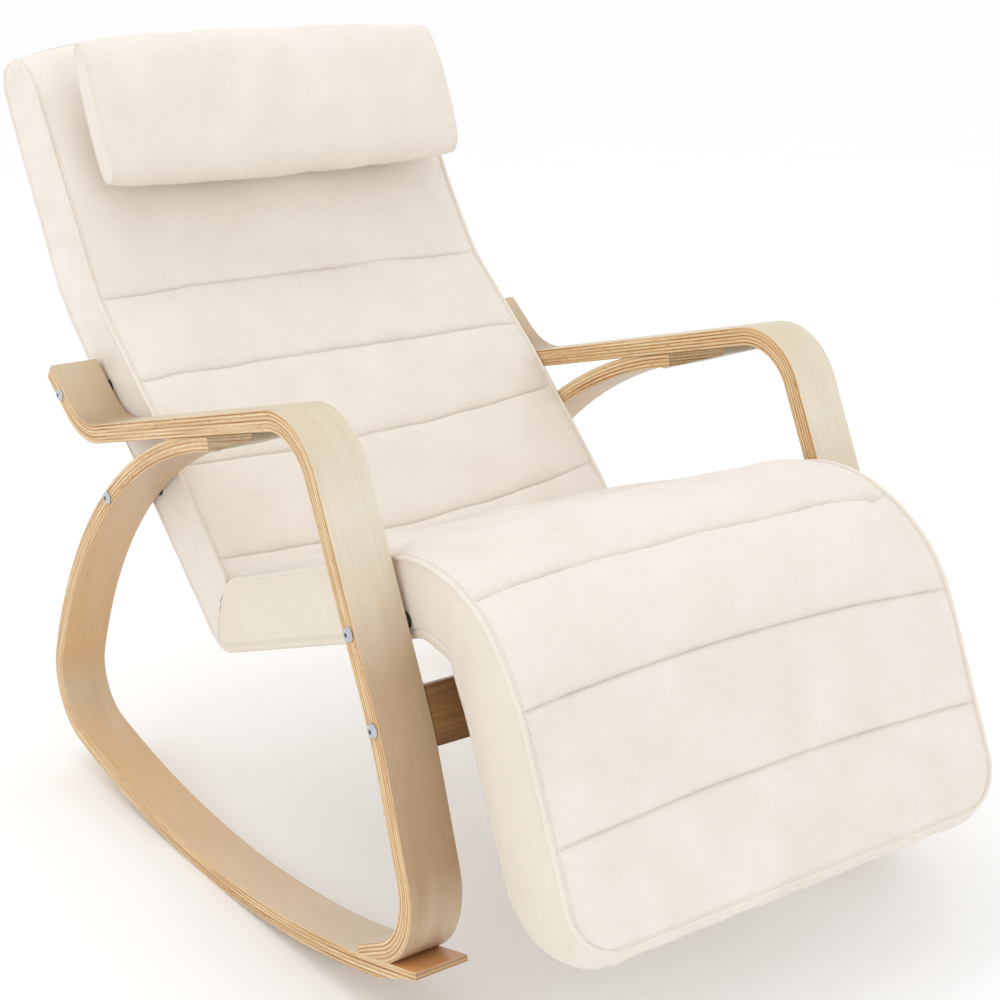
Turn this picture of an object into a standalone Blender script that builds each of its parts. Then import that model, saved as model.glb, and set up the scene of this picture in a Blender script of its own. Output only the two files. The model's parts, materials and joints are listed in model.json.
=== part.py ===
"""Bentwood rocking armchair with a reclined seat and back, an adjustable footrest and a head pillow.

Metres, +Z up, the sitter faces -Y. Side outlines are drawn in the (y, z) plane and extruded along X.
"""

import math

import bmesh
import bpy
from mathutils import Matrix, Vector

# ---------------------------------------------------------------- driving dimensions
CHAIR_WIDTH = 0.690          # over the two side frames
STRIP_WIDTH = 0.060          # every bent strip, along X
ARM_THICK = 0.022
ROCKER_THICK = 0.020
CENTRE_SHIFT = -0.0234       # moves the drawn outlines so that the box is centred on Y
GAP = 0.0003                 # between pieces that touch
SIDES = (("left", 1), ("right", -1))

ARM_REAR = (0.380, 0.5255)   # arm and front leg: centre line of one bent strip
ARM_KICK = (0.298, 0.464, 0.090)
ARM_FRONT = (-0.219, 0.601, 0.074)
LEG_BEND = (-0.356, 0.310, 0.450)
LEG_FOOT = (-0.416, 0.1196, 0.082)
FOOT_END = (-0.3149, 0.064)

SOLE_RADIUS = 1.360          # rocker: centre line of the long arc on the floor
SOLE_MIDDLE_Y = 0.036
SOLE_FRONT_DEG = 15.7        # where the sole arc runs out into the straight toe
TOE_Y = -0.4197
TOE_THICK = 0.0075
TOE_CUT_DEG = 24.7
HEEL_RADIUS = 0.070
RISER_CENTRE = (-0.173, -0.0835)
RISER_RADIUS = 0.6325
RISER_TOP_DEG = 77.3
WEDGE_FRONT_Y = -0.130
WEDGE_FRONT_THICK = 0.008
SCREW_BORE = 0.0028
SCREW_SHANK = 0.0024
SCREW_HEAD = ((0.0065, 0.0), (0.0062, -0.0018), (0.0040, -0.0030), (0, -0.0034))   # (radius, height)
COUNTERBORE = 0.0075
RISER_SCREW_Y = 0.005
RISER_SCREW_LENGTH, FOOT_SCREW_LENGTH = 0.028, 0.022
FOOT_SCREW_REACH = 0.062     # back from the toe's tip
FOOT_SCREW_GRIP = 0.010      # of toe under the foot

CUSHION_HALF = 0.274         # half the width of the upholstery
COVER_WALL = 0.003
UNDER_COVER_START = 0.030    # back from the hinge
CUSHION_EDGE = 0.008
CORNER_RELIEF = 0.030        # from the tubes to both pads where the tubes bend
TUBE_CORNER = 0.035          # rounding of the covers' low rear corner
TOP_CORNER = 0.0289          # and of the back cover's top rear corner
BACK_REAR = ((0.094, 0.2368), (0.4922, 0.5864), (0.6353, 0.8797))
BACK_FRONT = ((0.066, 0.336), (0.3800, 0.6190), (0.5245, 0.8720))
BACK_BEND = 0.150            # radius where the head section leans forward
SEAT_TOP_REAR = (0.077, 0.3293)
KNEE = (-0.4365, 0.5214, 0.180)
FOOT_FRONT_LOW = (-0.580, 0.183, 0.035)
FOOT_REAR_LOW = (-0.482, 0.140, 0.031)
NOTCH = (-0.3719, 0.4132)    # where the seat's underside meets the footrest's rear

TUBE_RADIUS = 0.0125
TUBE_WALL = 0.0015
TUBE_X = 0.255
SIDE_TUBE_START = 0.034      # back from the hinge
HEAD_JOINT, HEAD_TOP = 0.170, 0.276   # along the head section: where the two tubes plug in and the top
HEAD_TUBE_CORNER = 0.060
CROSS_TUBE_RADIUS = 0.0100
CROSS_TUBE_INSET = 0.060     # in from both bends of the back
BACK_TUBE_DEPTH = 0.0335     # tube axis in from the rear face of the back
SEAT_TUBE_DEPTH = 0.018      # tube axis up from the underside of the seat
FOOT_TUBE_DEPTH = 0.020
FOOT_TUBE_RADIUS = 0.011
FOOT_TUBE_X = 0.222
FOOT_TUBE_LENGTH = 0.262
FOOT_TUBE_START = 0.030      # down from the hinge
FOOT_TUBE_CORNER = 0.045
STRAP_THICK = 0.002
STRAP_WIDTH = 0.050
STRAP_FLAP = 0.016

BOLT_BORE = 0.0043
BOLT_SHANK = 0.0040
BOLT_HEAD = ((0.0080, 0), (0.0080, -0.0008), (0.0068, -0.0024), (0.0042, -0.0034), (0, -0.0036))
BOSS_RADIUS = 0.009
BOLT_BACK = (0.3500, 0.5030)  # arm strip to the back tube
BOLT_RISER = (0.2300, 0.4043)  # rocker riser to the back tube
BOLT_SEAT = (-0.3098, 0.4089)  # front leg to the seat tube
BOLT_BAR = (-0.3500, 0.3235)  # front leg to the crossbar
CROSSBAR_HEIGHT = 0.060
CROSSBAR_THICK = 0.022
CROSSBAR_DEG = 67.5
NUT_RADIUS, NUT_BORE = 0.0050, 0.0056
NUT_INSET = 0.022            # in from the crossbar's end
BAR_BOLT_GRIP = 0.031        # of the bolt in the crossbar

BACK_STRAPS = (0.25, 0.56)     # shares of the lower back tube
HEAD_STRAPS = (0.085, 0.178)
SEAT_STRAPS = (0.150, 0.270)   # back from the hinge
FOOT_STRAPS = (0.095, 0.185)

AXLE_HALF = 0.2460
KNEE_TUBE_HALF = 0.2285
KNEE_ROLL_HALF = 0.2270
HINGE_PLATE_REACH = 0.095
RATCHET_ARM_REACH = 0.065
HINGE_PLATE_X = (0.2380, 0.2420)
ARM_PLATE_X = (0.2335, 0.2375)
RATCHET_RADIUS = 0.020
RATCHET_ARM_WIDTH = 0.018
AXLE_RADIUS = 0.005
KNEE_TUBE_RADIUS = 0.011
KNEE_ROLL_RADIUS = 0.026
KNEE_CLEAR = 0.0268

PILLOW_HALF = 0.247
PILLOW_REAR = 0.0039         # in front of the back cushion
PILLOW_DEPTH = 0.072
PILLOW_SPAN = (0.0945, 0.2585)   # along the head section, from its reference point
PILLOW_EDGE = 0.018
LOOP_TAPE_SPAN = (0.090, 0.225)
HOOK_TAPE_SPAN = (0.185, 0.235)
LOOP_TAPE_HALF, HOOK_TAPE_HALF = 0.150, 0.140
TAPE_THICK = 0.0015
HEAD_REFERENCE = (0.404, 0.641)


# ---------------------------------------------------------------- plane geometry in (y, z)
def polar(angle_deg, length=1.0):
    a = math.radians(angle_deg)
    return Vector((math.cos(a), math.sin(a))) * length


def direction(a, b):
    return (Vector(b[:2]) - Vector(a[:2])).normalized()


def left_of(d):
    return Vector((-d.y, d.x))


def arc(centre, radius, start_deg, end_deg, steps):
    return [Vector(centre) + polar(start_deg + (end_deg - start_deg) * i / steps, radius)
            for i in range(steps + 1)]


def fillet(points, step_deg=7.0):
    """A path through points of (y, z) or (y, z, radius), with each corner that has a radius rounded."""
    path = []
    for i, point in enumerate(points):
        here = Vector(point[:2])
        if len(point) < 3 or i in (0, len(points) - 1):
            path.append(here)
            continue
        path += round_corner(Vector(points[i - 1][:2]), here, Vector(points[i + 1][:2]), point[2], step_deg)
    return path


def round_corner(before, here, after, radius, step_deg):
    d1, d2 = (here - before).normalized(), (after - here).normalized()
    turn = math.acos(max(-1.0, min(1.0, d1.dot(d2))))
    side = 1 if d1.x * d2.y - d1.y * d2.x > 0 else -1
    start = here - d1 * radius * math.tan(turn / 2)
    centre = start + left_of(d1) * radius * side
    first = math.degrees(math.atan2(*(start - centre).yx))
    steps = max(2, round(math.degrees(turn) / step_deg))
    return arc(centre, radius, first, first + side * math.degrees(turn), steps)


def round_loop(points, step_deg=12.0):
    """A closed outline with its corners rounded, where each point carries its own radius."""
    loop = []
    for i, point in enumerate(points):
        if len(point) < 3:
            loop.append(Vector(point))
            continue
        before, after = points[i - 1], points[(i + 1) % len(points)]
        loop += round_corner(Vector(before[:2]), Vector(point[:2]), Vector(after[:2]), point[2], step_deg)
    return loop


def offset_path(path, distance):
    """The path moved to its left by distance, with mitred corners."""
    moved = []
    for i, here in enumerate(path):
        d1 = direction(path[max(i - 1, 0)], path[max(i, 1)])
        d2 = direction(path[min(i, len(path) - 2)], path[min(i + 1, len(path) - 1)])
        middle = (left_of(d1) + left_of(d2)).normalized()
        moved.append(Vector(here[:2]) + middle * distance / middle.dot(left_of(d1)))
    return moved


def strip_outline(path, thick):
    return offset_path(path, thick / 2) + offset_path(path, -thick / 2)[::-1]


def clip(outline, point, normal):
    """The part of the outline on the side that normal points to."""
    point, normal = Vector(point[:2]), Vector(normal)
    kept = []
    for i, b in enumerate(outline):
        a = outline[i - 1]
        ha, hb = (a - point).dot(normal), (b - point).dot(normal)
        if (ha >= 0) != (hb >= 0):
            kept.append(a + (b - a) * ha / (ha - hb))
        if hb >= 0:
            kept.append(b.copy())
    return kept


def crossing(p, d, q, e):
    """Where the line through p along d meets the line through q along e."""
    p, q = Vector(p[:2]), Vector(q[:2])
    t = ((q - p).x * e.y - (q - p).y * e.x) / (d.x * e.y - d.y * e.x)
    return p + d * t


def circle(centre, radius, steps=16):
    return arc(centre, radius, 0, 360 - 360 / steps, steps - 1)


# ---------------------------------------------------------------- lines that several pieces share
SEAT_DIR = direction(BACK_REAR[0], NOTCH)                      # rear to front along the seat
BACK_LOW_DIR = direction(BACK_REAR[0], BACK_REAR[1])
HEAD_DIR = direction(BACK_REAR[1], BACK_REAR[2])
FOOT_DIR = direction(NOTCH, FOOT_REAR_LOW)                    # down the footrest
SEAT_UP = -left_of(SEAT_DIR)
BACK_TUBE = offset_path([Vector(p) for p in BACK_REAR], BACK_TUBE_DEPTH)
SEAT_TUBE_POINT = Vector(BACK_REAR[0]) + SEAT_UP * SEAT_TUBE_DEPTH
FOOT_FORWARD = -left_of(FOOT_DIR)
HINGE = crossing(SEAT_TUBE_POINT, SEAT_DIR, Vector(NOTCH) + FOOT_FORWARD * FOOT_TUBE_DEPTH, FOOT_DIR)
SEAT_TUBE_REAR = crossing(SEAT_TUBE_POINT, SEAT_DIR, BACK_TUBE[0], BACK_LOW_DIR)
ARM_DIR = direction(ARM_KICK, ARM_FRONT)                      # rear to front along the arm
ARM_UNDER = Vector(ARM_FRONT[:2]) + left_of(ARM_DIR) * (ARM_THICK / 2 + GAP)
HEAD_FACE_DIR = direction(BACK_FRONT[1], BACK_FRONT[2])
HEAD_OUT = left_of(HEAD_FACE_DIR)


def rocker_path():
    """Toe, sole arc, heel arc tangent to both, and the riser that curls forward under the arm."""
    sole_centre = Vector((SOLE_MIDDLE_Y, SOLE_RADIUS + ROCKER_THICK / 2))
    riser_centre = Vector(RISER_CENTRE)
    to_sole, to_riser = SOLE_RADIUS - HEEL_RADIUS, RISER_RADIUS - HEEL_RADIUS
    span = riser_centre - sole_centre
    along = (to_sole ** 2 - to_riser ** 2 + span.length_squared) / (2 * span.length)
    aside = math.sqrt(to_sole ** 2 - along ** 2)
    heel = sole_centre + span.normalized() * along + left_of(span.normalized()) * aside
    sole_start = -90 - SOLE_FRONT_DEG
    heel_start = math.degrees(math.atan2(*(heel - sole_centre).yx))
    heel_end = math.degrees(math.atan2(*(heel - riser_centre).yx))
    sole = arc(sole_centre, SOLE_RADIUS, sole_start, heel_start, 26)
    toe_rise = (sole[0].x - TOE_Y) * math.tan(math.radians(SOLE_FRONT_DEG))
    toe = Vector((TOE_Y, sole[0].y + toe_rise))
    return ([toe] + sole + arc(heel, HEEL_RADIUS, heel_start, heel_end, 12)[1:]
            + arc(riser_centre, RISER_RADIUS, heel_end, RISER_TOP_DEG, 16)[1:])


ROCKER_PATH = rocker_path()
TOE_DIR = direction(ROCKER_PATH[0], ROCKER_PATH[1])
TOE_TOP = ROCKER_PATH[0] + left_of(TOE_DIR) * ROCKER_THICK / 2
RISER_END_DIR = direction(ROCKER_PATH[-2], ROCKER_PATH[-1])


# ---------------------------------------------------------------- scene and materials
def clear_scene():
    for old in list(bpy.data.objects):
        bpy.data.objects.remove(old)


def make_collection(name):
    made = bpy.data.collections.new(name)
    bpy.context.scene.collection.children.link(made)
    return made


def material(name, colour, roughness, metallic=0.0):
    made = bpy.data.materials.new(name)
    made.use_nodes = True
    shader = made.node_tree.nodes["Principled BSDF"]
    shader.inputs["Base Color"].default_value = (*colour, 1.0)
    shader.inputs["Roughness"].default_value = roughness
    shader.inputs["Metallic"].default_value = metallic
    made.diffuse_color = (*colour, 1.0)
    return made


clear_scene()
CHAIR = make_collection("rocking_recliner")
CUTTERS = make_collection("cutters")
ASSEMBLY = bpy.data.objects.new("assembly", None)
ASSEMBLY.location.y = CENTRE_SHIFT
CHAIR.objects.link(ASSEMBLY)

BIRCH = material("birch_plywood", (0.80, 0.66, 0.47), 0.40)
BLOCK = material("wedge_wood", (0.52, 0.33, 0.18), 0.55)
BAR = material("stained_wood", (0.30, 0.16, 0.06), 0.45)
CANVAS = material("canvas", (0.86, 0.80, 0.71), 0.90)
LINING = material("lining", (0.80, 0.74, 0.66), 0.90)
WEBBING = material("webbing", (0.10, 0.10, 0.10), 0.80)
BLACK_STEEL = material("black_steel", (0.02, 0.02, 0.02), 0.40, 1.0)
ZINC = material("zinc", (0.62, 0.63, 0.65), 0.30, 1.0)
HOOK_TAPE = material("hook_tape", (0.75, 0.70, 0.62), 0.95)


# ---------------------------------------------------------------- making solids
def add(obj, look, parent=None):
    CHAIR.objects.link(obj)
    obj.data.materials.append(look)
    obj.parent = parent or ASSEMBLY
    return obj


def plane_matrix(x=0.0):
    """Turns a drawing's own (x, y) into the chair's (y, z), with its depth along X."""
    return Matrix(((0, 0, 1, x), (1, 0, 0, 0), (0, 1, 0, 0), (0, 0, 0, 1)))


def outline_curve(name, outline, depth, holes=(), edge=0.0):
    curve = bpy.data.curves.new(name, "CURVE")
    curve.dimensions = "2D"
    curve.fill_mode = "BOTH"
    curve.extrude = depth / 2 - edge
    curve.bevel_depth = edge
    curve.offset = -edge
    curve.bevel_resolution = 1
    for loop in (outline, *holes):
        spline = curve.splines.new("POLY")
        spline.points.add(len(loop) - 1)
        for point, place in zip(spline.points, loop):
            point.co = (place.x, place.y, 0, 1)
        spline.use_cyclic_u = True
    return bpy.data.objects.new(name, curve)


def as_mesh(curve_object):
    """The curve object's shape as a welded mesh object with the same name and place."""
    bpy.context.scene.collection.objects.link(curve_object)
    bpy.context.view_layer.update()
    evaluated = curve_object.evaluated_get(bpy.context.evaluated_depsgraph_get())
    mesh = bpy.data.meshes.new_from_object(evaluated)
    work = bmesh.new()
    work.from_mesh(mesh)
    bmesh.ops.remove_doubles(work, verts=work.verts, dist=0.00001)
    bmesh.ops.recalc_face_normals(work, faces=work.faces)
    work.to_mesh(mesh)
    work.free()
    name, place = curve_object.name, curve_object.matrix_world.copy()
    bpy.data.objects.remove(curve_object)
    made = bpy.data.objects.new(name, mesh)
    made.matrix_world = place
    return made


def plate(name, outline, x_low, x_high, holes=(), edge=0.0):
    """A side outline extruded from x_low to x_high."""
    made = outline_curve(name, outline, x_high - x_low, holes, edge)
    made.matrix_world = plane_matrix((x_low + x_high) / 2)
    return as_mesh(made)


def rod(name, start, end, radius, sides=20):
    start, end = Vector(start), Vector(end)
    work = bmesh.new()
    bmesh.ops.create_cone(work, cap_ends=True, segments=sides, radius1=radius, radius2=radius,
                          depth=(end - start).length)
    mesh = bpy.data.meshes.new(name)
    work.to_mesh(mesh)
    work.free()
    made = bpy.data.objects.new(name, mesh)
    turn = (end - start).to_track_quat("Z", "Y").to_matrix().to_4x4()
    made.matrix_world = Matrix.Translation((start + end) / 2) @ turn
    return made


def turned(name, profile, start, toward, sides=20):
    """A profile of (radius, height) from the axis's top round to its bottom, spun about start-toward."""
    mesh = bpy.data.meshes.new(name)
    rings = [(r, 0.0, h) for r, h in profile]
    mesh.from_pydata(rings, [(i, i + 1) for i in range(len(rings) - 1)], [])
    made = bpy.data.objects.new(name, mesh)
    spin = made.modifiers.new("spin", "SCREW")
    spin.steps = spin.render_steps = sides
    spin.use_merge_vertices = True
    spin.merge_threshold = 0.00001
    turn = Vector(toward).to_track_quat("Z", "Y").to_matrix().to_4x4()
    made.matrix_world = Matrix.Translation(start) @ turn
    return made


def tube(name, points, radius, wall, look, parent=None):
    """A hollow tube along 3D points, open at its ends."""
    curve = bpy.data.curves.new(name, "CURVE")
    curve.dimensions = "3D"
    curve.bevel_depth = radius
    curve.bevel_resolution = 2
    curve.use_fill_caps = False
    spline = curve.splines.new("POLY")
    spline.points.add(len(points) - 1)
    for point, place in zip(spline.points, points):
        point.co = (*place, 1)
    made = add(as_mesh(bpy.data.objects.new(name, curve)), look, parent)
    shell = made.modifiers.new("wall", "SOLIDIFY")
    shell.thickness = wall
    shell.offset = -1
    shell.use_even_offset = True
    return made


def cut(cutter, *targets, parent=None):
    CUTTERS.objects.link(cutter)
    cutter.parent = parent or ASSEMBLY
    cutter.hide_render = True
    cutter.display_type = "WIRE"
    for target in targets:
        modifier = target.modifiers.new(cutter.name, "BOOLEAN")
        modifier.operation = "DIFFERENCE"
        modifier.solver = "EXACT"
        modifier.object = cutter


def across(x, point):
    return Vector((x, point[0], point[1]))


def side_span(side, inner, outer):
    return sorted((side * inner, side * outer))


# ---------------------------------------------------------------- bentwood side frames
FRAME_OUT = CHAIR_WIDTH / 2
FRAME_IN = FRAME_OUT - STRIP_WIDTH


def arm_outline():
    path = fillet((ARM_REAR, ARM_KICK, ARM_FRONT, LEG_BEND, LEG_FOOT, FOOT_END))
    outline = strip_outline(path, ARM_THICK)
    return clip(outline, TOE_TOP + left_of(TOE_DIR) * GAP, left_of(TOE_DIR))


def rocker_outline():
    outline = strip_outline(ROCKER_PATH, ROCKER_THICK)
    outline = clip(outline, ARM_UNDER, left_of(ARM_DIR))
    toe_low = TOE_TOP - Vector((0, TOE_THICK))
    return clip(outline, toe_low, left_of(polar(-TOE_CUT_DEG)))


def wedge_corners():
    """The filler under the arm, ahead of the riser's end: top rear, top front, low front, low rear."""
    end = ROCKER_PATH[-1] + RISER_END_DIR * GAP
    low = end + left_of(RISER_END_DIR) * ROCKER_THICK / 2
    top_rear = crossing(end, left_of(RISER_END_DIR), ARM_UNDER, ARM_DIR)
    top_front = crossing((WEDGE_FRONT_Y, 0), Vector((0, 1)), ARM_UNDER, ARM_DIR)
    return top_rear, top_front, top_front + left_of(ARM_DIR) * WEDGE_FRONT_THICK, low


def riser_screw_place():
    """Where the riser's screw enters its underside, and the way it goes."""
    inner = RISER_RADIUS - ROCKER_THICK / 2
    up = polar(math.degrees(math.acos((RISER_SCREW_Y - RISER_CENTRE[0]) / inner)))
    return Vector(RISER_CENTRE) + up * inner, up


def foot_screw_place():
    """The seat of the counterbored screw that comes up through the toe into the foot."""
    up = left_of(TOE_DIR)
    return TOE_TOP + TOE_DIR * FOOT_SCREW_REACH - up * FOOT_SCREW_GRIP, up


def side_frame(label, side):
    span = side_span(side, FRAME_IN, FRAME_OUT)
    middle = side * (FRAME_IN + FRAME_OUT) / 2
    arm_holes = [circle(p, BOLT_BORE, 12) for p in (BOLT_BACK, BOLT_SEAT, BOLT_BAR)]
    arm = add(plate(f"arm_and_leg_{label}", arm_outline(), *span, arm_holes), BIRCH)
    rocker_hole = circle(BOLT_RISER, BOLT_BORE, 12)
    rocker = add(plate(f"rocker_{label}", rocker_outline(), *span, [rocker_hole]), BIRCH)
    corners = wedge_corners()
    outline = round_loop((corners[0], corners[1], (*corners[2], 0.005), corners[3]), 20)
    add(plate(f"arm_wedge_{label}", outline, *span), BLOCK)
    for name, place, length in (("riser_screw", riser_screw_place(), RISER_SCREW_LENGTH),
                                ("foot_screw", foot_screw_place(), FOOT_SCREW_LENGTH)):
        seat, up = place
        ends = [across(middle, seat + up * s) for s in (-0.006, length + GAP)]
        cut(rod(f"{name}_bore_{label}", *ends, SCREW_BORE, 12), rocker, arm)
        screw(f"{name}_{label}", across(middle, seat - up * GAP), up, length)
    seat, up = foot_screw_place()
    ends = [across(middle, seat + up * s) for s in (-0.030, 0)]
    cut(rod(f"foot_counterbore_{label}", *ends, COUNTERBORE), rocker)


def screw(name, seat, up, length):
    """A pan-head screw with its head under seat and its shank going up."""
    profile = ((0, length), (SCREW_SHANK, length - 0.003), (SCREW_SHANK, 0.0), *SCREW_HEAD)
    add(turned(name, profile, seat, Vector((0, up[0], up[1])), 16), ZINC)


# ---------------------------------------------------------------- bolts, bosses and the front crossbar
def bolt(name, side, point, depth):
    """A domed socket-head bolt, driven in from the outer edge of the side frame."""
    face = across(side * (FRAME_OUT + GAP), point)
    inward = Vector((-side, 0, 0))
    reach = STRIP_WIDTH + depth
    profile = ((0, reach), (BOLT_SHANK, reach), (BOLT_SHANK, 0), *BOLT_HEAD)
    made = add(turned(name, profile, face, inward, 20), ZINC)
    cut(rod(f"{name}_socket", face - inward * 0.006, face - inward * 0.0012, 0.0029, 6), made)


def boss(name, side, point):
    """A threaded steel boss between the side frame and the tube, which the bolt screws into."""
    face = across(side * (FRAME_IN - GAP), point)
    length = FRAME_IN - TUBE_X - TUBE_RADIUS - 3 * GAP
    inward = Vector((-side, 0, 0))
    profile = ((0, length), (BOSS_RADIUS, length), (BOSS_RADIUS, 0), (BOLT_BORE, 0),
               (BOLT_BORE, length - 0.002), (0, length - 0.002))
    add(turned(name, profile, face, inward, 20), BLACK_STEEL)


def crossbar():
    along = polar(CROSSBAR_DEG)
    middle = Vector(BOLT_BAR)
    corners = [middle + along * CROSSBAR_HEIGHT / 2 * a + left_of(along) * CROSSBAR_THICK / 2 * b
               for a, b in ((1, 1), (-1, 1), (-1, -1), (1, -1))]
    half = FRAME_IN - GAP
    bar = add(plate("front_crossbar", corners, -half, half), BAR)
    for label, side in SIDES:
        tip = across(side * (half - BAR_BOLT_GRIP - 0.003), middle)
        cut(rod(f"bar_bolt_bore_{label}", across(side * (half + 0.01), middle), tip, BOLT_BORE, 12), bar)
        nut_x = side * (half - NUT_INSET)
        ends = [across(nut_x, middle + left_of(along) * d) for d in (0.0080, -0.0200)]
        cut(rod(f"bar_nut_bore_{label}", *ends, NUT_BORE, 16), bar)
        ends = [across(nut_x, middle + left_of(along) * d) for d in (0.0070, -0.0105)]
        nut = add(rod(f"barrel_nut_{label}", *ends, NUT_RADIUS, 16), ZINC)
        cut(rod(f"barrel_nut_bore_{label}", across(side * half, middle), tip, BOLT_BORE, 12), nut)
        bolt(f"crossbar_bolt_{label}", side, BOLT_BAR, BAR_BOLT_GRIP)


def fixings():
    for label, side in SIDES:
        for name, point in (("back", BOLT_BACK), ("riser", BOLT_RISER), ("seat", BOLT_SEAT)):
            bolt(f"{name}_bolt_{label}", side, point, 0.013)
            boss(f"{name}_boss_{label}", side, point)


# ---------------------------------------------------------------- steel seat and back frame
def side_tubes():
    start = HINGE - SEAT_DIR * SIDE_TUBE_START
    end = BACK_TUBE[1] + HEAD_DIR * HEAD_JOINT
    path = fillet((start, (*SEAT_TUBE_REAR, 0.060), (*BACK_TUBE[1], 0.120), end), 9)
    for label, side in SIDES:
        points = [across(side * TUBE_X, p) for p in path]
        tube(f"side_tube_{label}", points, TUBE_RADIUS, TUBE_WALL, BLACK_STEEL)
    return end


def top_tube(joint):
    """The head of the back frame, a flat U that plugs onto both side tubes."""
    top = BACK_TUBE[1] + HEAD_DIR * HEAD_TOP
    rise = (top - joint).length
    corners = [(side * TUBE_X, rise, HEAD_TUBE_CORNER) for side in (-1, 1)]
    flat = fillet(((-TUBE_X, 0), *corners, (TUBE_X, 0)), 9)
    low = joint + HEAD_DIR * GAP
    points = [across(p.x, low + HEAD_DIR * p.y) for p in flat]
    tube("head_tube", points, TUBE_RADIUS, TUBE_WALL, BLACK_STEEL)


def cross_tubes():
    inner = TUBE_X - TUBE_RADIUS - GAP
    for name, point in (("lumbar_cross_tube", SEAT_TUBE_REAR + BACK_LOW_DIR * CROSS_TUBE_INSET),
                        ("shoulder_cross_tube", BACK_TUBE[1] - BACK_LOW_DIR * CROSS_TUBE_INSET)):
        ends = [across(-inner, point), across(inner, point)]
        tube(name, ends, CROSS_TUBE_RADIUS, TUBE_WALL, BLACK_STEEL)


def strap(name, point, along, out, tube_x, tube_radius, parent=None):
    """An elastic webbing strap over the front of both tubes, its ends turned down beside them."""
    low = tube_radius + GAP
    half = tube_x + tube_radius + GAP + STRAP_THICK
    flap = low - STRAP_FLAP
    outline = [Vector(p) for p in ((-half, flap), (-half, low + STRAP_THICK), (half, low + STRAP_THICK),
                                   (half, flap), (half - STRAP_THICK, flap), (half - STRAP_THICK, low),
                                   (STRAP_THICK - half, low), (STRAP_THICK - half, flap))]
    made = outline_curve(name, outline, STRAP_WIDTH)
    made.matrix_world = Matrix(((1, 0, 0, 0), (0, out.x, along.x, point.x), (0, out.y, along.y, point.y),
                                (0, 0, 0, 1)))
    return add(as_mesh(made), WEBBING, parent)


def straps(foot_parent):
    lower = (BACK_TUBE[1] - SEAT_TUBE_REAR).length
    for i, share in enumerate(BACK_STRAPS):
        strap(f"back_strap_{i + 1}", SEAT_TUBE_REAR + BACK_LOW_DIR * lower * share, BACK_LOW_DIR,
              left_of(BACK_LOW_DIR), TUBE_X, TUBE_RADIUS)
    for i, reach in enumerate(HEAD_STRAPS):
        strap(f"head_strap_{i + 1}", BACK_TUBE[1] + HEAD_DIR * reach, HEAD_DIR, left_of(HEAD_DIR),
              TUBE_X, TUBE_RADIUS)
    for i, reach in enumerate(SEAT_STRAPS):
        strap(f"seat_strap_{i + 1}", HINGE - SEAT_DIR * reach, SEAT_DIR, SEAT_UP, TUBE_X, TUBE_RADIUS)
    for i, reach in enumerate(FOOT_STRAPS):
        strap(f"footrest_strap_{i + 1}", FOOT_DIR * reach, FOOT_DIR, FOOT_FORWARD, FOOT_TUBE_X,
              FOOT_TUBE_RADIUS, foot_parent)


# ---------------------------------------------------------------- footrest hinge and its tube
def ratchet_plate(arm_dir, length, notches):
    """A round head about the origin with an arm; notches are cut in the head's rim for the stops."""
    half = RATCHET_ARM_WIDTH / 2
    arm_deg = math.degrees(math.atan2(arm_dir.y, arm_dir.x))
    edge_deg = math.degrees(math.asin(half / RATCHET_RADIUS))
    rim = []
    steps = 36
    for i in range(steps + 1):
        turn = arm_deg + edge_deg + (360 - 2 * edge_deg) * i / steps
        deep = notches and 10 <= i <= 26 and i % 4 == 2
        rim.append(polar(turn, RATCHET_RADIUS - (0.0035 if deep else 0.0)))
    tip = arm_dir * length
    return rim + [tip - left_of(arm_dir) * half, tip + left_of(arm_dir) * half]


def moved(outline, by):
    return [p + by for p in outline]


def hinge(foot_parent):
    for label, side in SIDES:
        fixed = moved(ratchet_plate(-SEAT_DIR, HINGE_PLATE_REACH, False), HINGE)
        add(plate(f"hinge_plate_{label}", fixed, *side_span(side, *HINGE_PLATE_X),
                  [circle(HINGE, AXLE_RADIUS + 0.0002)]), BLACK_STEEL)
        arm = ratchet_plate(FOOT_DIR, RATCHET_ARM_REACH, True)
        add(plate(f"ratchet_arm_{label}", arm, *side_span(side, *ARM_PLATE_X),
                  [circle((0, 0), AXLE_RADIUS + 0.0002)]), ZINC, foot_parent)
    add(rod("hinge_axle", across(-AXLE_HALF, HINGE), across(AXLE_HALF, HINGE), AXLE_RADIUS, 16), ZINC)
    tube("knee_tube", [across(-KNEE_TUBE_HALF, HINGE), across(KNEE_TUBE_HALF, HINGE)], KNEE_TUBE_RADIUS,
         TUBE_WALL, BLACK_STEEL)
    inner = circle(HINGE, KNEE_TUBE_RADIUS + GAP, 24)
    outline = circle(HINGE, KNEE_ROLL_RADIUS, 32)
    add(plate("knee_roll", outline, -KNEE_ROLL_HALF, KNEE_ROLL_HALF, [inner], 0.003), CANVAS)


def footrest_tube(foot_parent):
    corners = [(side * FOOT_TUBE_X, FOOT_TUBE_LENGTH, FOOT_TUBE_CORNER) for side in (-1, 1)]
    flat = fillet(((-FOOT_TUBE_X, FOOT_TUBE_START), *corners, (FOOT_TUBE_X, FOOT_TUBE_START)), 9)
    points = [across(p.x, FOOT_DIR * p.y) for p in flat]
    tube("footrest_tube", points, FOOT_TUBE_RADIUS, TUBE_WALL, BLACK_STEEL, foot_parent)


# ---------------------------------------------------------------- upholstery
def block(name, outline, edge=0.0):
    return plate(name, outline, -CUSHION_HALF, CUSHION_HALF, edge=edge)


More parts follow.
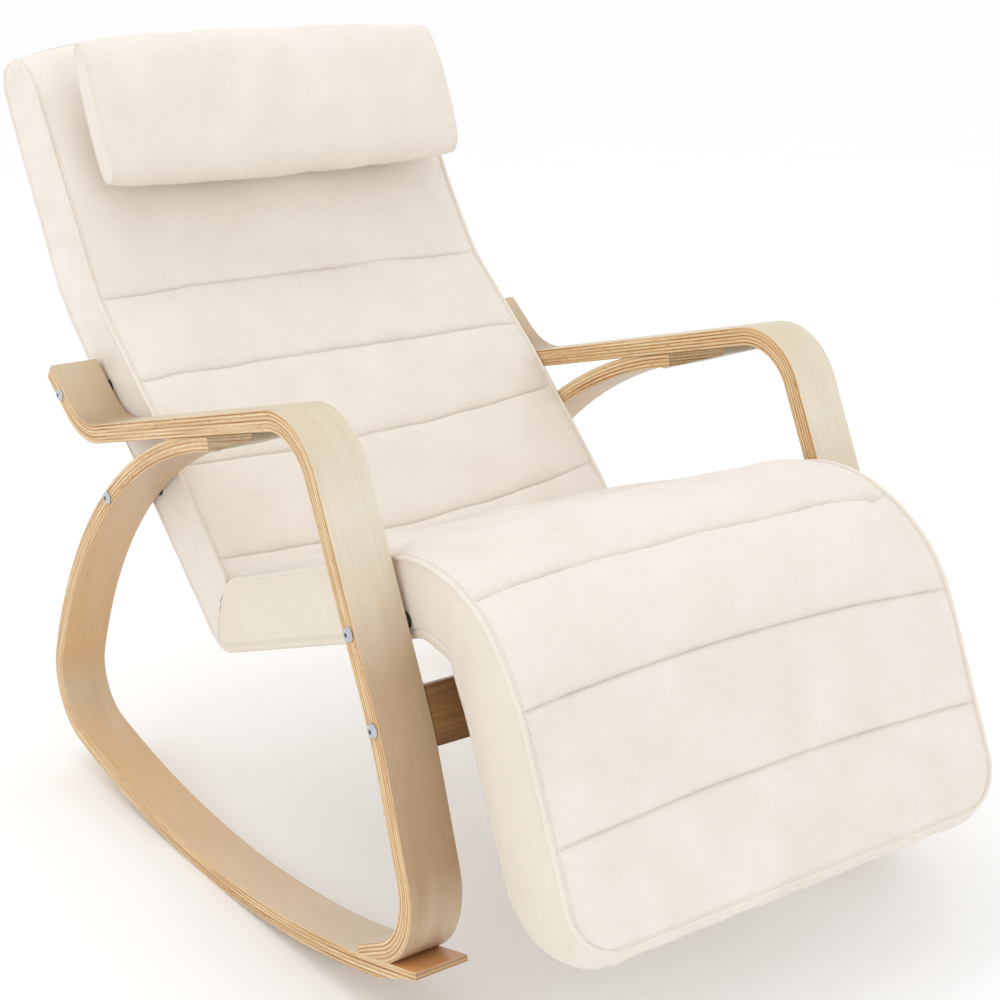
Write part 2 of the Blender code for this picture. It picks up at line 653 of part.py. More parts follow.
MITRE = (Vector(SEAT_TOP_REAR) + Vector(BACK_FRONT[0])) / 2
MITRE_DIR = direction(MITRE, BACK_REAR[0])
TO_SEAT, TO_BACK = -left_of(MITRE_DIR), left_of(MITRE_DIR)
BACK_PAD_DEPTH = BACK_TUBE_DEPTH + TUBE_RADIUS + STRAP_THICK + 3 * GAP
SEAT_PAD_DEPTH = SEAT_TUBE_DEPTH + TUBE_RADIUS + STRAP_THICK + 3 * GAP
FOOT_PAD_DEPTH = FOOT_TUBE_DEPTH + FOOT_TUBE_RADIUS + STRAP_THICK + 5 * GAP
TOP_DIR = direction(BACK_FRONT[2], BACK_REAR[2])


def relieved(outline):
    """A pad's outline with its corner at the foot of the mitre cut back for the bend of the tubes."""
    return clip(outline, Vector(SEAT_TUBE_REAR) - MITRE_DIR * CORNER_RELIEF, -MITRE_DIR)


def back_pad():
    split = offset_path([Vector(p) for p in BACK_REAR], BACK_PAD_DEPTH)
    top = crossing(split[2], HEAD_DIR, BACK_FRONT[2], TOP_DIR)
    low = crossing(split[0], BACK_LOW_DIR, MITRE, MITRE_DIR)
    outline = round_loop((BACK_FRONT[0], (*BACK_FRONT[1], BACK_BEND), (*BACK_FRONT[2], 0.040), top,
                          (*split[1], BACK_BEND + 0.04), low), 9)
    outline = relieved(clip(outline, MITRE + TO_BACK * GAP, TO_BACK))
    add(block("back_cushion", outline, CUSHION_EDGE), CANVAS)


def seat_pad():
    rear = crossing(Vector(BACK_REAR[0]) + SEAT_UP * SEAT_PAD_DEPTH, SEAT_DIR, MITRE, MITRE_DIR)
    front = crossing(rear, SEAT_DIR, HINGE, SEAT_UP)
    outline = round_loop((SEAT_TOP_REAR, rear, front, FOOT_FRONT_LOW[:2], KNEE), 8)
    outline = clip(outline, MITRE + TO_SEAT * GAP, TO_SEAT)
    outline = clip(outline, HINGE, -SEAT_DIR)
    outline = relieved(clip(outline, front, SEAT_UP))
    pad = add(block("seat_cushion", outline, CUSHION_EDGE), CANVAS)
    cut(rod("seat_knee_cutter", across(-0.3, HINGE), across(0.3, HINGE), KNEE_CLEAR, 32), pad)


def foot_pad(foot_parent):
    outline = round_loop((FOOT_REAR_LOW, FOOT_FRONT_LOW, KNEE, SEAT_TOP_REAR, NOTCH), 8)
    outline = clip(outline, Vector(NOTCH) + FOOT_FORWARD * FOOT_PAD_DEPTH, FOOT_FORWARD)
    outline = clip(outline, HINGE, left_of(polar(150)))
    pad = add(block("footrest_cushion", moved(outline, -HINGE), CUSHION_EDGE), CANVAS, foot_parent)
    cutter = rod("foot_knee_cutter", across(-0.3, (0, 0)), across(0.3, (0, 0)), KNEE_CLEAR, 32)
    cut(cutter, pad, parent=foot_parent)


def tray(name, outline, inner, parent=None):
    """A cover of outline's shape, hollowed by inner, which leaves a wall at both sides."""
    made = add(block(name, outline), LINING, parent)
    half = CUSHION_HALF - COVER_WALL
    cut(plate(f"{name}_hollow", inner, -half, half), made, parent=parent)
    return made


def shell_outline(inset, extra):
    """The upholstery's rear and under side, inset from it, as a closed bent band extra deeper."""
    chain = [Vector(p[:2]) for p in (BACK_FRONT[2], BACK_REAR[2], BACK_REAR[1], BACK_REAR[0], NOTCH,
                                     FOOT_REAR_LOW)]
    outer = offset_path(chain, -inset)
    split = offset_path([Vector(p) for p in BACK_REAR], BACK_PAD_DEPTH - GAP + extra)
    seat_split = Vector(BACK_REAR[0]) + SEAT_UP * (SEAT_PAD_DEPTH - GAP + extra)
    top = crossing(split[2], HEAD_DIR, outer[0], TOP_DIR)
    fold = crossing(split[0], BACK_LOW_DIR, seat_split, SEAT_DIR)
    front = crossing(seat_split, SEAT_DIR, HINGE, SEAT_UP)
    under = crossing(outer[3], SEAT_DIR, HINGE, SEAT_UP)
    return round_loop((top, (*outer[1], TOP_CORNER - inset), (*outer[2], BACK_BEND + 0.09),
                       (*outer[3], TUBE_CORNER - inset), under, front, fold,
                       (*split[1], BACK_BEND + 0.04)), 8)


def covers(foot_parent):
    outline, hollow = shell_outline(0, 0), shell_outline(COVER_WALL, 0.02)
    back = tray("back_rear_cover", clip(outline, MITRE + TO_BACK * GAP, TO_BACK),
                clip(hollow, MITRE - TO_BACK * 0.01, TO_BACK))
    under = clip(clip(outline, MITRE + TO_SEAT * GAP, TO_SEAT), HINGE - SEAT_DIR * UNDER_COVER_START, -SEAT_DIR)
    seat = tray("seat_under_cover", under, clip(hollow, MITRE - TO_SEAT * 0.01, TO_SEAT))
    for target, point in ((back, BOLT_BACK), (back, BOLT_RISER), (seat, BOLT_SEAT)):
        name = f"boss_opening_{target.name}_{round(point[0] * 1000)}"
        cut(rod(name, across(-0.3, point), across(0.3, point), BOSS_RADIUS + 0.0004, 20), target)
    rear, inner = foot_shell(0, 0, 0), foot_shell(COVER_WALL, 0.02, 0.01)
    tray("footrest_rear_cover", moved(rear, -HINGE), moved(inner, -HINGE), foot_parent)


def foot_shell(inset, extra, over):
    """The footrest's rear and low side, inset from it; extra reaches deeper and over further up."""
    top = HINGE + FOOT_DIR * (FOOT_TUBE_START - over)
    low_dir = direction(FOOT_REAR_LOW, FOOT_FRONT_LOW)
    face = Vector(FOOT_REAR_LOW[:2]) + FOOT_FORWARD * inset
    low = crossing(face, FOOT_DIR, Vector(FOOT_REAR_LOW[:2]) - left_of(low_dir) * inset, low_dir)
    split = Vector(NOTCH) + FOOT_FORWARD * (FOOT_PAD_DEPTH - 3 * GAP + extra)
    corners = [crossing(line, FOOT_DIR, top, FOOT_FORWARD) for line in (face, split)]
    deep = crossing(split, FOOT_DIR, low, low_dir)
    return round_loop((corners[0], (*low, FOOT_REAR_LOW[2] - inset), deep, corners[1]), 12)


def head_slab(name, span, near, depth, half, look, edge=0.0):
    """A slab on the head section: span up its face, near in front of it."""
    lift = (Vector(BACK_FRONT[1]) - Vector(HEAD_REFERENCE)).dot(HEAD_OUT)
    low, high = (Vector(HEAD_REFERENCE) + HEAD_FACE_DIR * s + HEAD_OUT * (lift + near) for s in span)
    corners = [low, high, high + HEAD_OUT * depth, low + HEAD_OUT * depth]
    loop = round_loop([(*p, edge * 1.6) for p in corners], 15) if edge else corners
    add(plate(name, loop, -half, half, edge=edge), look)


# ---------------------------------------------------------------- assembly
def build():
    foot = bpy.data.objects.new("footrest_pivot", None)
    foot.parent = ASSEMBLY
    foot.location = across(0, HINGE)
    CHAIR.objects.link(foot)
    for label, side in SIDES:
        side_frame(label, side)
    crossbar()
    fixings()
    top_tube(side_tubes())
    cross_tubes()
    hinge(foot)
    footrest_tube(foot)
    straps(foot)
    back_pad()
    seat_pad()
    foot_pad(foot)
    covers(foot)
    head_slab("back_loop_tape", LOOP_TAPE_SPAN, GAP, TAPE_THICK, LOOP_TAPE_HALF, HOOK_TAPE)
    over_loops = TAPE_THICK + 2 * GAP
    head_slab("pillow_hook_tape", HOOK_TAPE_SPAN, over_loops, TAPE_THICK, HOOK_TAPE_HALF, HOOK_TAPE)
    head_slab("head_pillow", PILLOW_SPAN, PILLOW_REAR, PILLOW_DEPTH, PILLOW_HALF, CANVAS, PILLOW_EDGE)


build()
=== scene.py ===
"""Looks of a bentwood rocking recliner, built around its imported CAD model.

Metres, +Z up, the sitter faces -Y. Side outlines are drawn as (y, z) points and moved by SHIFT
along y onto the model.
"""

import contextlib
import functools
import json
import math

import bmesh
import bpy
import numpy as np
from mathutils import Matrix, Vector


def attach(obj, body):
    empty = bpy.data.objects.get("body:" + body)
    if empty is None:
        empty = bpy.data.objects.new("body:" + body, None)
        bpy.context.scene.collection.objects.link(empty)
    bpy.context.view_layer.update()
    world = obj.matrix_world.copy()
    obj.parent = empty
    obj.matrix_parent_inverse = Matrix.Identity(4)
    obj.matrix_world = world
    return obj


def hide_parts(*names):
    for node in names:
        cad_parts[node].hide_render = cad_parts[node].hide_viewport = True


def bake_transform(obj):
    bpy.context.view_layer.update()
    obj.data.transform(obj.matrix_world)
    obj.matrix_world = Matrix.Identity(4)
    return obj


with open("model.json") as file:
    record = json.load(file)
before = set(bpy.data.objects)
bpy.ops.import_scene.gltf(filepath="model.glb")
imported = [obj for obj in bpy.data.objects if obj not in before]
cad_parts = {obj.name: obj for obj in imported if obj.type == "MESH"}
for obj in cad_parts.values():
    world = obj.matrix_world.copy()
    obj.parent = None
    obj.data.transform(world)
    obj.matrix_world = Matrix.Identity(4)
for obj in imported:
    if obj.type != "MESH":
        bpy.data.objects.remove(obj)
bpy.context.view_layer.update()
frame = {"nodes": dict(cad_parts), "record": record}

SHIFT = -0.0234
HALF = 0.277  # half the upholstery's width, to the piping
PIPING = 0.0026

# ---- camera and light
CAMERA_PLACE, CAMERA_DOWN, CAMERA_TURN = (-1.2128, -1.765 + SHIFT, 1.0892), 17.92, -35.67
LENS, SENSOR = 68.79, 36
LIGHTS = (  # name, place, target, size, power
    ("key", (0.2, -3.4, 1.9), (0, 0, 0.5), (1.8, 1.4), 6),
    ("top", (-0.6, 0.9, 3.2), (0, 0, 0.3), (1.8, 1.8), 13),
    ("side", (-3.2, -0.3, 1.2), (0, 0, 0.5), (1.8, 1.4), 5))
FLOOR_SIZE, WORLD_LIGHT = 40, 1.0
scene = bpy.context.scene
scene.view_settings.view_transform = "Standard"


def linked(name, data):
    made = bpy.data.objects.new(name, data)
    scene.collection.objects.link(made)
    return made


def add_camera():
    data = bpy.data.cameras.new("camera")
    data.sensor_width, data.lens = SENSOR, LENS
    scene.camera = linked("camera", data)
    scene.camera.location = CAMERA_PLACE
    scene.camera.rotation_euler = (math.radians(90 - CAMERA_DOWN), 0, math.radians(CAMERA_TURN))


def add_light(name, place, target, size, power):
    data = bpy.data.lights.new(name, "AREA")
    data.shape = "RECTANGLE"
    data.size, data.size_y = size
    data.energy = power
    light = linked(name, data)
    light.location = place
    light.rotation_euler = (Vector(target) - Vector(place)).to_track_quat("-Z", "Y").to_euler()


# ---- shader nodes
NORMAL, UV, OBJECT = 1, 2, 3  # outputs of the Texture Coordinate node


class Graph:
    """Adds shader nodes to a material; inputs are values or other nodes' output sockets."""

    def __init__(self, name):
        self.material = bpy.data.materials.new(name)
        self.material.use_nodes = True
        self.tree = self.material.node_tree
        self.tree.nodes.clear()

    def feed(self, socket, value):
        if isinstance(value, bpy.types.NodeSocket):
            self.tree.links.new(value, socket)
        else:
            socket.default_value = value

    def add(self, kind, inputs=None, out=0, **settings):
        made = self.tree.nodes.new("ShaderNode" + kind)
        for key, value in settings.items():
            setattr(made, key, value)
        for key, value in (inputs or {}).items():
            self.feed(made.inputs[key], value)
        return made.outputs[out]

    def math(self, operation, a, b=0.0):
        return self.add("Math", {0: a, 1: b}, operation=operation)

    plus = functools.partialmethod(math, "ADD")
    minus = functools.partialmethod(math, "SUBTRACT")
    mul = functools.partialmethod(math, "MULTIPLY")

    def weighted(self, *pairs):
        """The sum of (socket, weight) pairs."""
        total = self.mul(*pairs[0])
        for pair in pairs[1:]:
            total = self.plus(total, self.mul(*pair))
        return total

    def mix(self, factor, a, b):
        return self.add("Mix", {0: factor, 6: a, 7: b}, 2, data_type="RGBA")

    def scaled(self, vector, by):
        return self.add("VectorMath", {0: vector, 1: by}, operation="MULTIPLY")

    def ramp(self, factor, *stops):
        made = self.tree.nodes.new("ShaderNodeValToRGB")
        elements = made.color_ramp.elements
        while len(elements) < len(stops):
            elements.new(0.5)
        for element, (place, colour) in zip(elements, stops):
            element.position = place
            element.color = (*colour, 1)
        self.tree.links.new(factor, made.inputs[0])
        return made.outputs[0]

    def coords(self, which=OBJECT):
        return self.add("TexCoord", out=which)

    def split(self, vector):
        made = self.tree.nodes.new("ShaderNodeSeparateXYZ")
        self.tree.links.new(vector, made.inputs[0])
        return made.outputs

    def vector(self, *axes):
        """A vector whose axes are values or (socket, scale) pairs."""
        axes = [self.mul(*axis) if isinstance(axis, tuple) else axis for axis in axes]
        return self.add("CombineXYZ", dict(enumerate(axes)))

    def noise(self, vector, scale=1.0, detail=2.0, rough=0.5, **more):
        return self.add("TexNoise", {"Vector": vector, "Scale": scale, "Detail": detail,
                                     "Roughness": rough, **more})

    def bump(self, height, distance, strength, **more):
        return self.add("Bump", {"Height": height, "Distance": distance, "Strength": strength, **more})

    def finish(self, **inputs):
        shader = self.tree.nodes.new("ShaderNodeBsdfPrincipled")
        for key, value in inputs.items():
            self.feed(shader.inputs[key.replace("_", " ")], value)
        output = self.tree.nodes.new("ShaderNodeOutputMaterial")
        self.tree.links.new(shader.outputs[0], output.inputs[0])
        return self.material


def grey(value):
    return (value, value, value)


# ---- materials
def darker(colour, share):
    return tuple(c * share for c in colour)


def canvas(name, base, deep, weave=0.0011, strength=0.35):
    """Brushed cotton canvas: a plain weave over a soft nap, with faint uneven tone."""
    g = Graph(name)
    coords, uv = g.coords(), g.split(g.coords(UV))
    wander = g.mul(g.noise(coords, 60), 5.0)
    warp, weft = (g.math("SINE", g.plus(g.mul(uv[i], 2 * math.pi / weave), wander)) for i in (0, 1))
    nap = g.noise(coords, 950, 3, 0.65)
    blotch = g.noise(coords, 14, 4, 0.6)
    slub = g.noise(g.scaled(coords, (90, 420, 420)))
    tone = g.weighted((blotch, 0.55), (nap, 0.30), (slub, 0.15))
    normal = g.bump(g.weighted((g.mul(warp, weft), 0.25), (nap, 0.9)), 0.00035, strength)
    normal = g.bump(g.noise(coords, 120, 3), 0.0010, 0.45, Normal=normal)
    return g.finish(Base_Color=g.ramp(tone, (0.30, deep), (0.66, base)), Normal=normal,
                    Roughness=g.plus(0.80, g.mul(nap, 0.15)), Sheen_Weight=0.25,
                    Sheen_Roughness=0.5, Specular_IOR_Level=0.25)


def thread(name, colour):
    g = Graph(name)
    coords = g.coords()
    twist = g.add("TexWave", {"Vector": coords, "Scale": 700.0, "Distortion": 2.0, "Detail": 1.0},
                  bands_direction="DIAGONAL")
    tone = g.ramp(g.noise(coords, 300), (0.3, darker(colour, 0.86)), (0.7, colour))
    return g.finish(Base_Color=tone, Roughness=0.62, Normal=g.bump(twist, 0.0002, 0.5), Sheen_Weight=0.2)


def birch(name, light_and_shade, plies=11, thick=0.022, dark=1.0, end=False):
    """Lacquered birch plywood. UV is the distance along the strip and off its centre line, in metres.

    The tint table holds (distance along the strip, tint) pairs that paint light, shade and reflections onto
    the face veneer; end: plies show on every face.
    """
    g = Graph(name)
    along, through, _ = g.split(g.coords(UV))
    across = g.split(g.coords())[0]
    side = g.math("LESS_THAN", across, 0.0)
    facing = g.math("ABSOLUTE", g.split(g.coords(NORMAL))[0])
    edge = g.ramp(facing, (0.45, grey(float(end))), (0.62, grey(1)))

    def shade_of(*colour):
        return darker(colour, dark)

    wobble = g.noise(g.vector((along, 9.0), side, 0.0))
    level = g.plus(g.plus(g.mul(through, plies / thick), 50.0), g.mul(g.minus(wobble, 0.5), 0.5))
    ply, within = g.math("FLOOR", level), g.math("FRACT", level)
    off_middle = g.math("ABSOLUTE", g.minus(within, 0.5))
    odd = g.math("GREATER_THAN", g.math("FRACT", g.mul(ply, 0.5)), 0.25)
    odd = g.mul(odd, g.ramp(off_middle, (0.22, grey(1)), (0.40, grey(0.20))))
    fickle = g.noise(g.vector((along, 4.5), (ply, 5.3), side))
    odd = g.mul(odd, g.ramp(fickle, (0.34, grey(0.25)), (0.60, grey(1))))
    shade = g.noise(g.vector((along, 7.0), (ply, 3.7), side), 1.0, 3)
    fibre = g.noise(g.vector((along, 60.0), (through, 2600.0), side), 1.0, 3)
    end_grain = g.ramp(g.weighted((shade, 0.75), (fibre, 0.25)), (0.34, shade_of(0.27, 0.075, 0.018)),
                       (0.62, shade_of(0.47, 0.20, 0.060)))
    long_grain = g.ramp(g.weighted((shade, 0.5), (fibre, 0.5)), (0.32, shade_of(0.52, 0.28, 0.095)),
                        (0.47, shade_of(0.71, 0.49, 0.24)), (0.62, shade_of(0.85, 0.71, 0.47)))
    glue = g.ramp(off_middle, (0.41, grey(0)), (0.49, grey(0.70)))
    gap = g.noise(g.vector((along, 75.0), (through, 620.0), g.plus(side, 4.0)), 1.0, 1)
    gap = g.ramp(gap, (0.715, grey(0)), (0.745, grey(1)))
    plies_colour = g.mix(odd, long_grain, end_grain)
    plies_colour = g.mix(glue, plies_colour, (*shade_of(0.45, 0.22, 0.09), 1))
    plies_colour = g.mix(gap, plies_colour, (0.055, 0.022, 0.010, 1))

    streak = g.noise(g.vector((along, 5.5), (across, 190.0), through), 1.0, 4, 0.62)
    figure = g.noise(g.vector((along, 3.2), (across, 21.0), 3.0), 1.0, 4, 0.6, Distortion=1.1)
    pores = g.noise(g.vector((along, 55.0), (across, 1500.0), 7.0))
    face_colour = g.ramp(g.weighted((streak, 0.40), (figure, 0.45), (pores, 0.15)),
                         (0.30, shade_of(0.655, 0.545, 0.40)), (0.52, shade_of(0.710, 0.625, 0.49)),
                         (0.70, shade_of(0.745, 0.675, 0.545)))
    # Painted light and shade: the face veneer is tinted along the strip, brighter where lit and tan to
    # brown where shaded.
    place_along, reach = g.plus(along, g.mul(g.minus(figure, 0.5), 0.09)), light_and_shade[-1][0]
    painted_light_tint = g.ramp(g.mul(place_along, 1 / reach), *[(at / reach, colour) for at, colour in light_and_shade])
    knot = g.add("TexVoronoi", {"Vector": g.vector((along, 7.0), (across, 13.0), 0.3), "Scale": 1.0})
    knot = g.ramp(knot, (0.020, grey(0.55)), (0.050, grey(0)))
    face_colour = g.mix(knot, g.scaled(face_colour, painted_light_tint), (*shade_of(0.42, 0.26, 0.13), 1))

    relief = g.mix(edge, g.plus(pores, g.mul(streak, 0.6)),
                   g.minus(g.weighted((fibre, 0.7), (odd, 0.4)), g.mul(gap, 2.0)))
    rough = g.plus(g.mul(edge, 0.16), g.plus(0.30, g.mul(pores, 0.12)))
    return g.finish(Base_Color=g.mix(edge, face_colour, plies_colour), Roughness=rough,
                    Normal=g.bump(relief, 0.00022, 0.6), Coat_Weight=0.10, Coat_Roughness=0.22,
                    Specular_IOR_Level=0.35)


def stained_wood(name, light, dark):
    g = Graph(name)
    coords = g.coords()
    grain = g.noise(g.scaled(coords, (6, 260, 260)), 1.0, 4, 0.6)
    cloud = g.noise(g.scaled(coords, (9, 34, 34)), 1.0, 3)
    colour = g.ramp(g.weighted((grain, 0.55), (cloud, 0.45)), (0.34, dark), (0.62, light))
    return g.finish(Base_Color=colour, Roughness=g.plus(0.30, g.mul(grain, 0.2)),
                    Normal=g.bump(grain, 0.0003, 0.5), Coat_Weight=0.25, Coat_Roughness=0.25)


def metal(name, colour, rough, metallic=1.0, scratch=900.0, strength=0.15):
    g = Graph(name)
    coords = g.coords()
    fine = g.noise(coords, scratch, 3, 0.7)
    tone = g.ramp(g.noise(coords, 45, 3), (0.3, darker(colour, 0.80)), (0.7, colour))
    return g.finish(Base_Color=tone, Roughness=g.plus(rough, g.mul(g.minus(fine, 0.5), 0.18)),
                    Metallic=metallic, Normal=g.bump(fine, 0.0001, strength))


def webbing(name, colour):
    g = Graph(name)
    rib = g.add("TexWave", {"Vector": g.coords(), "Scale": 160.0, "Distortion": 0.6}, bands_direction="X")
    tone = g.ramp(rib, (0.2, darker(colour, 0.6)), (0.8, colour))
    return g.finish(Base_Color=tone, Roughness=g.plus(0.75, g.mul(rib, 0.1)),
                    Normal=g.bump(rib, 0.0005, 0.6))


def floor_material():
    g = Graph("floor")
    colour = g.ramp(g.noise(g.coords(), 3, 3), (0.3, grey(0.985)), (0.7, grey(0.99)))
    return g.finish(Base_Color=colour, Roughness=0.9)


CANVAS = canvas("canvas", (0.848, 0.790, 0.718), (0.768, 0.700, 0.622))
# A darker, warmer copy of the canvas that paints shade onto the seat's side panels.
SHADED_SIDE_CANVAS = canvas("canvas_side_painted_shade", (0.815, 0.742, 0.640), (0.765, 0.688, 0.580))
PIPE_CANVAS = canvas("canvas_piping", (0.85, 0.787, 0.70), (0.80, 0.73, 0.635), 0.0009, 0.5)
THREAD = thread("thread", (0.84, 0.77, 0.66))
# Tints along the bent strips that paint light, shade and reflections onto the face veneer: pale where the
# arm and upper leg are lit, darker at the shaded kick, tan to brown down the shaded lower leg, and dark at
# the shaded top of the rocker's riser.
LIT_PALE, SHADE_TAN, SHADE_BROWN = (1.05, 1.09, 1.14), (0.72, 0.58, 0.46), (0.62, 0.47, 0.35)
WARM, HONEY, ORANGE = (0.98, 0.80, 0.63), (0.97, 0.73, 0.50), (1.02, 0.56, 0.27)
ARM_LIGHT_AND_SHADE = (
    (0.0, (0.86, 0.78, 0.69)), (0.055, (0.78, 0.67, 0.56)), (0.115, (0.60, 0.47, 0.36)),
    (0.20, (0.90, 0.83, 0.74)), (0.60, (0.93, 0.90, 0.83)), (0.71, LIT_PALE), (0.79, (0.98, 0.96, 0.93)),
    (0.87, SHADE_TAN), (1.06, SHADE_BROWN), (1.15, (0.86, 0.79, 0.71)), (1.30, (0.92, 0.82, 0.70)))
ROCKER_LIGHT_AND_SHADE = (
    (0.0, ORANGE), (0.075, (0.93, 0.60, 0.36)), (0.12, (0.92, 0.84, 0.75)), (0.30, (0.98, 0.85, 0.73)),
    (0.48, WARM), (0.70, HONEY), (0.86, (0.96, 0.86, 0.74)), (0.92, HONEY), (1.16, (0.95, 0.74, 0.53)),
    (1.40, SHADE_TAN), (1.55, (0.55, 0.40, 0.28)))
BIRCH_ARM = birch("birch_arm", ARM_LIGHT_AND_SHADE)
BIRCH_ARM_END = birch("birch_arm_end", ARM_LIGHT_AND_SHADE, end=True)
BIRCH_ROCKER = birch("birch_rocker", ROCKER_LIGHT_AND_SHADE, 9, 0.020)
BIRCH_ROCKER_END = birch("birch_rocker_end", ROCKER_LIGHT_AND_SHADE, 9, 0.020, 0.72, end=True)
BIRCH_WEDGE = birch("birch_wedge", ARM_LIGHT_AND_SHADE, 12, 0.022, 0.62)
BAR = stained_wood("stained_bar", (0.31, 0.155, 0.052), (0.15, 0.065, 0.020))
ZINC = metal("zinc", (0.58, 0.61, 0.65), 0.18)
BLACK_STEEL = metal("black_steel", (0.035, 0.035, 0.037), 0.42, 0.6, 1300.0, 0.3)
WEBBING = webbing("webbing", (0.05, 0.05, 0.052))
TAPE = webbing("hook_tape", (0.80, 0.73, 0.64))
LOOKS = {"birch_plywood": BIRCH_ARM, "wedge_wood": BIRCH_WEDGE, "stained_wood": BAR, "canvas": CANVAS,
         "lining": CANVAS, "webbing": WEBBING, "hook_tape": TAPE, "black_steel": BLACK_STEEL, "zinc": ZINC}


# ---- outlines in the (y, z) plane
def unit(v):
    return v / np.linalg.norm(v)


def left(d):
    return np.array((-d[1], d[0]))


def fillet(points, step_deg=3.0):
    """A path through (y, z) or (y, z, radius) points, shifted into place, with its corners rounded."""
    path = []
    for i, point in enumerate(points):
        here = np.array(point[:2], float)
        if len(point) < 3 or i in (0, len(points) - 1):
            path.append(here)
            continue
        d1 = unit(here - np.array(points[i - 1][:2], float))
        d2 = unit(np.array(points[i + 1][:2], float) - here)
        turn = math.acos(max(-1.0, min(1.0, float(d1 @ d2))))
        side = 1 if d1[0] * d2[1] - d1[1] * d2[0] > 0 else -1
        start = here - d1 * point[2] * math.tan(turn / 2)
        centre = start + left(d1) * point[2] * side
        steps = max(3, round(math.degrees(turn) / step_deg))
        first = math.atan2(start[1] - centre[1], start[0] - centre[0])
        for k in range(steps + 1):
            a = first + side * turn * k / steps
            path.append(centre + point[2] * np.array((math.cos(a), math.sin(a))))
    return np.array(path) + (SHIFT, 0)


def lengths(path):
    return np.concatenate(([0.0], np.cumsum(np.linalg.norm(np.diff(path, axis=0), axis=1))))


def sample(path, s):
    run = lengths(path)
    return np.stack([np.interp(s, run, path[:, k]) for k in range(path.shape[1])], axis=-1)


def tangents(path, s, reach=0.006):
    end = lengths(path)[-1]
    d = sample(path, np.minimum(s + reach, end)) - sample(path, np.maximum(s - reach, 0))
    return d / np.linalg.norm(d, axis=-1)[..., None]


def left_rows(d):
    return np.stack((-d[..., 1], d[..., 0]), -1)


def nearest(path, point):
    """How far along the path the place nearest to a drawn (y, z) point is."""
    s = np.linspace(0, lengths(path)[-1], 2000)
    return s[np.argmin(np.linalg.norm(sample(path, s) - (np.array(point) + (SHIFT, 0)), axis=1))]


def smooth(t):
    t = np.clip(t, 0, 1)
    return t * t * (3 - 2 * t)


# ---- meshes
def new_mesh(name, points, faces, *looks):
    mesh = bpy.data.meshes.new(name)
    mesh.from_pydata([tuple(p) for p in points], [], faces)
    mesh.update()
    mesh.shade_smooth()
    for look in looks:
        mesh.materials.append(look)
    return linked(name, mesh)


@contextlib.contextmanager
def edited(mesh):
    """A bmesh of the mesh, written back when the block ends."""
    work = bmesh.new()
    work.from_mesh(mesh)
    yield work
    work.to_mesh(mesh)
    work.free()


def set_uv(obj, uv):
    """Gives every face corner the UV of its vertex."""
    layer = obj.data.uv_layers.new(name="UVMap")
    loops = np.zeros(len(obj.data.loops), int)
    obj.data.loops.foreach_get("vertex_index", loops)
    layer.data.foreach_set("uv", uv[loops].ravel())


def line_uv(obj):
    """A cheap UV that runs in metres over a thin tube."""
    co = np.array([v.co for v in obj.data.vertices])
    set_uv(obj, np.stack((co[:, 0] + co[:, 1], co[:, 2]), 1))


def swept_faces(rings, sides, first=0, caps=True):
    """Quads between equal rings of vertices, counted from first, and a face across each end."""
    faces = []
    for a in range(first, first + (rings - 1) * sides, sides):
        for k in range(sides):
            m = (k + 1) % sides
            faces.append((a + k, a + sides + k, a + sides + m, a + m))
    if caps:
        last = first + (rings - 1) * sides
        faces += [tuple(range(first, first + sides)), tuple(reversed(range(last, last + sides)))]
    return faces


def circle(centre, radius, a, b, sides):
    """Points round the centre in the plane of the unit vectors a and b."""
    angles = [2 * math.pi * k / sides for k in range(sides)]
    return [centre + radius * (math.cos(angle) * a + math.sin(angle) * b) for angle in angles]


def square_to(v, t):
    """The part of v square to the unit vector t, as a unit vector."""
    return unit(v - t * (v @ t))


def tube_arrays(points, radius, sides=10):
    """Rings round a line of 3D points, without twist, and their faces."""
    ahead = np.roll(points, -1, 0) - np.roll(points, 1, 0)
    ahead[0], ahead[-1] = points[1] - points[0], points[-1] - points[-2]
    ahead /= np.linalg.norm(ahead, axis=1)[:, None]
    normal = np.cross(ahead[0], (1, 0, 0))
    if np.linalg.norm(normal) < 0.2:
        normal = np.cross(ahead[0], (0, 0, 1))
    rings = []
    for p, t in zip(points, ahead):
        normal = square_to(normal, t)
        rings += circle(p, radius, normal, np.cross(t, normal), sides)
    return rings, swept_faces(len(points), sides)


def even_spacing(points, step):
    points = np.asarray(points, float)
    run = lengths(points)
    count = max(2, int(round(run[-1] / step)))
    return sample(points, np.linspace(0, run[-1], count + 1))


def piping(name, lines, radius, step=0.006):
    rings, faces = [], []
    for line in lines:
        r, f = tube_arrays(even_spacing(line, step), radius)
        faces += [tuple(v + len(rings) for v in face) for face in f]
        rings += r
    made = new_mesh(name, rings, faces, PIPE_CANVAS)
    line_uv(made)
    return made


def stitches(name, lines, pitch=0.0046, long=0.0031, radius=0.00042, rise=0.00025, sides=6):
    """Short raised thread stitches along lines of (points, normals)."""
    points, faces = [], []
    shape = [(-1.0, 0.25), (-0.8, 0.8), (0.0, 1.0), (0.8, 0.8), (1.0, 0.25)]  # along, thickness
    for line, normals in lines:
        run = lengths(line)
        places = np.arange(pitch, run[-1] - pitch, pitch)
        ends = sample(line, places - long / 2), sample(line, places + long / 2)
        upward = np.stack([np.interp(places, run, normals[:, k]) for k in range(3)], 1)
        for a, b, up in zip(*ends, upward):
            t = unit(b - a)
            up = square_to(up, t)
            faces += swept_faces(len(shape), sides, len(points))
            for share, fat in shape:
                centre = (a + b) / 2 + t * share * long / 2 + up * (rise * (1 - share * share))
                points += circle(centre, radius * fat, up, np.cross(t, up), sides)
    return new_mesh(name, points, faces, THREAD)


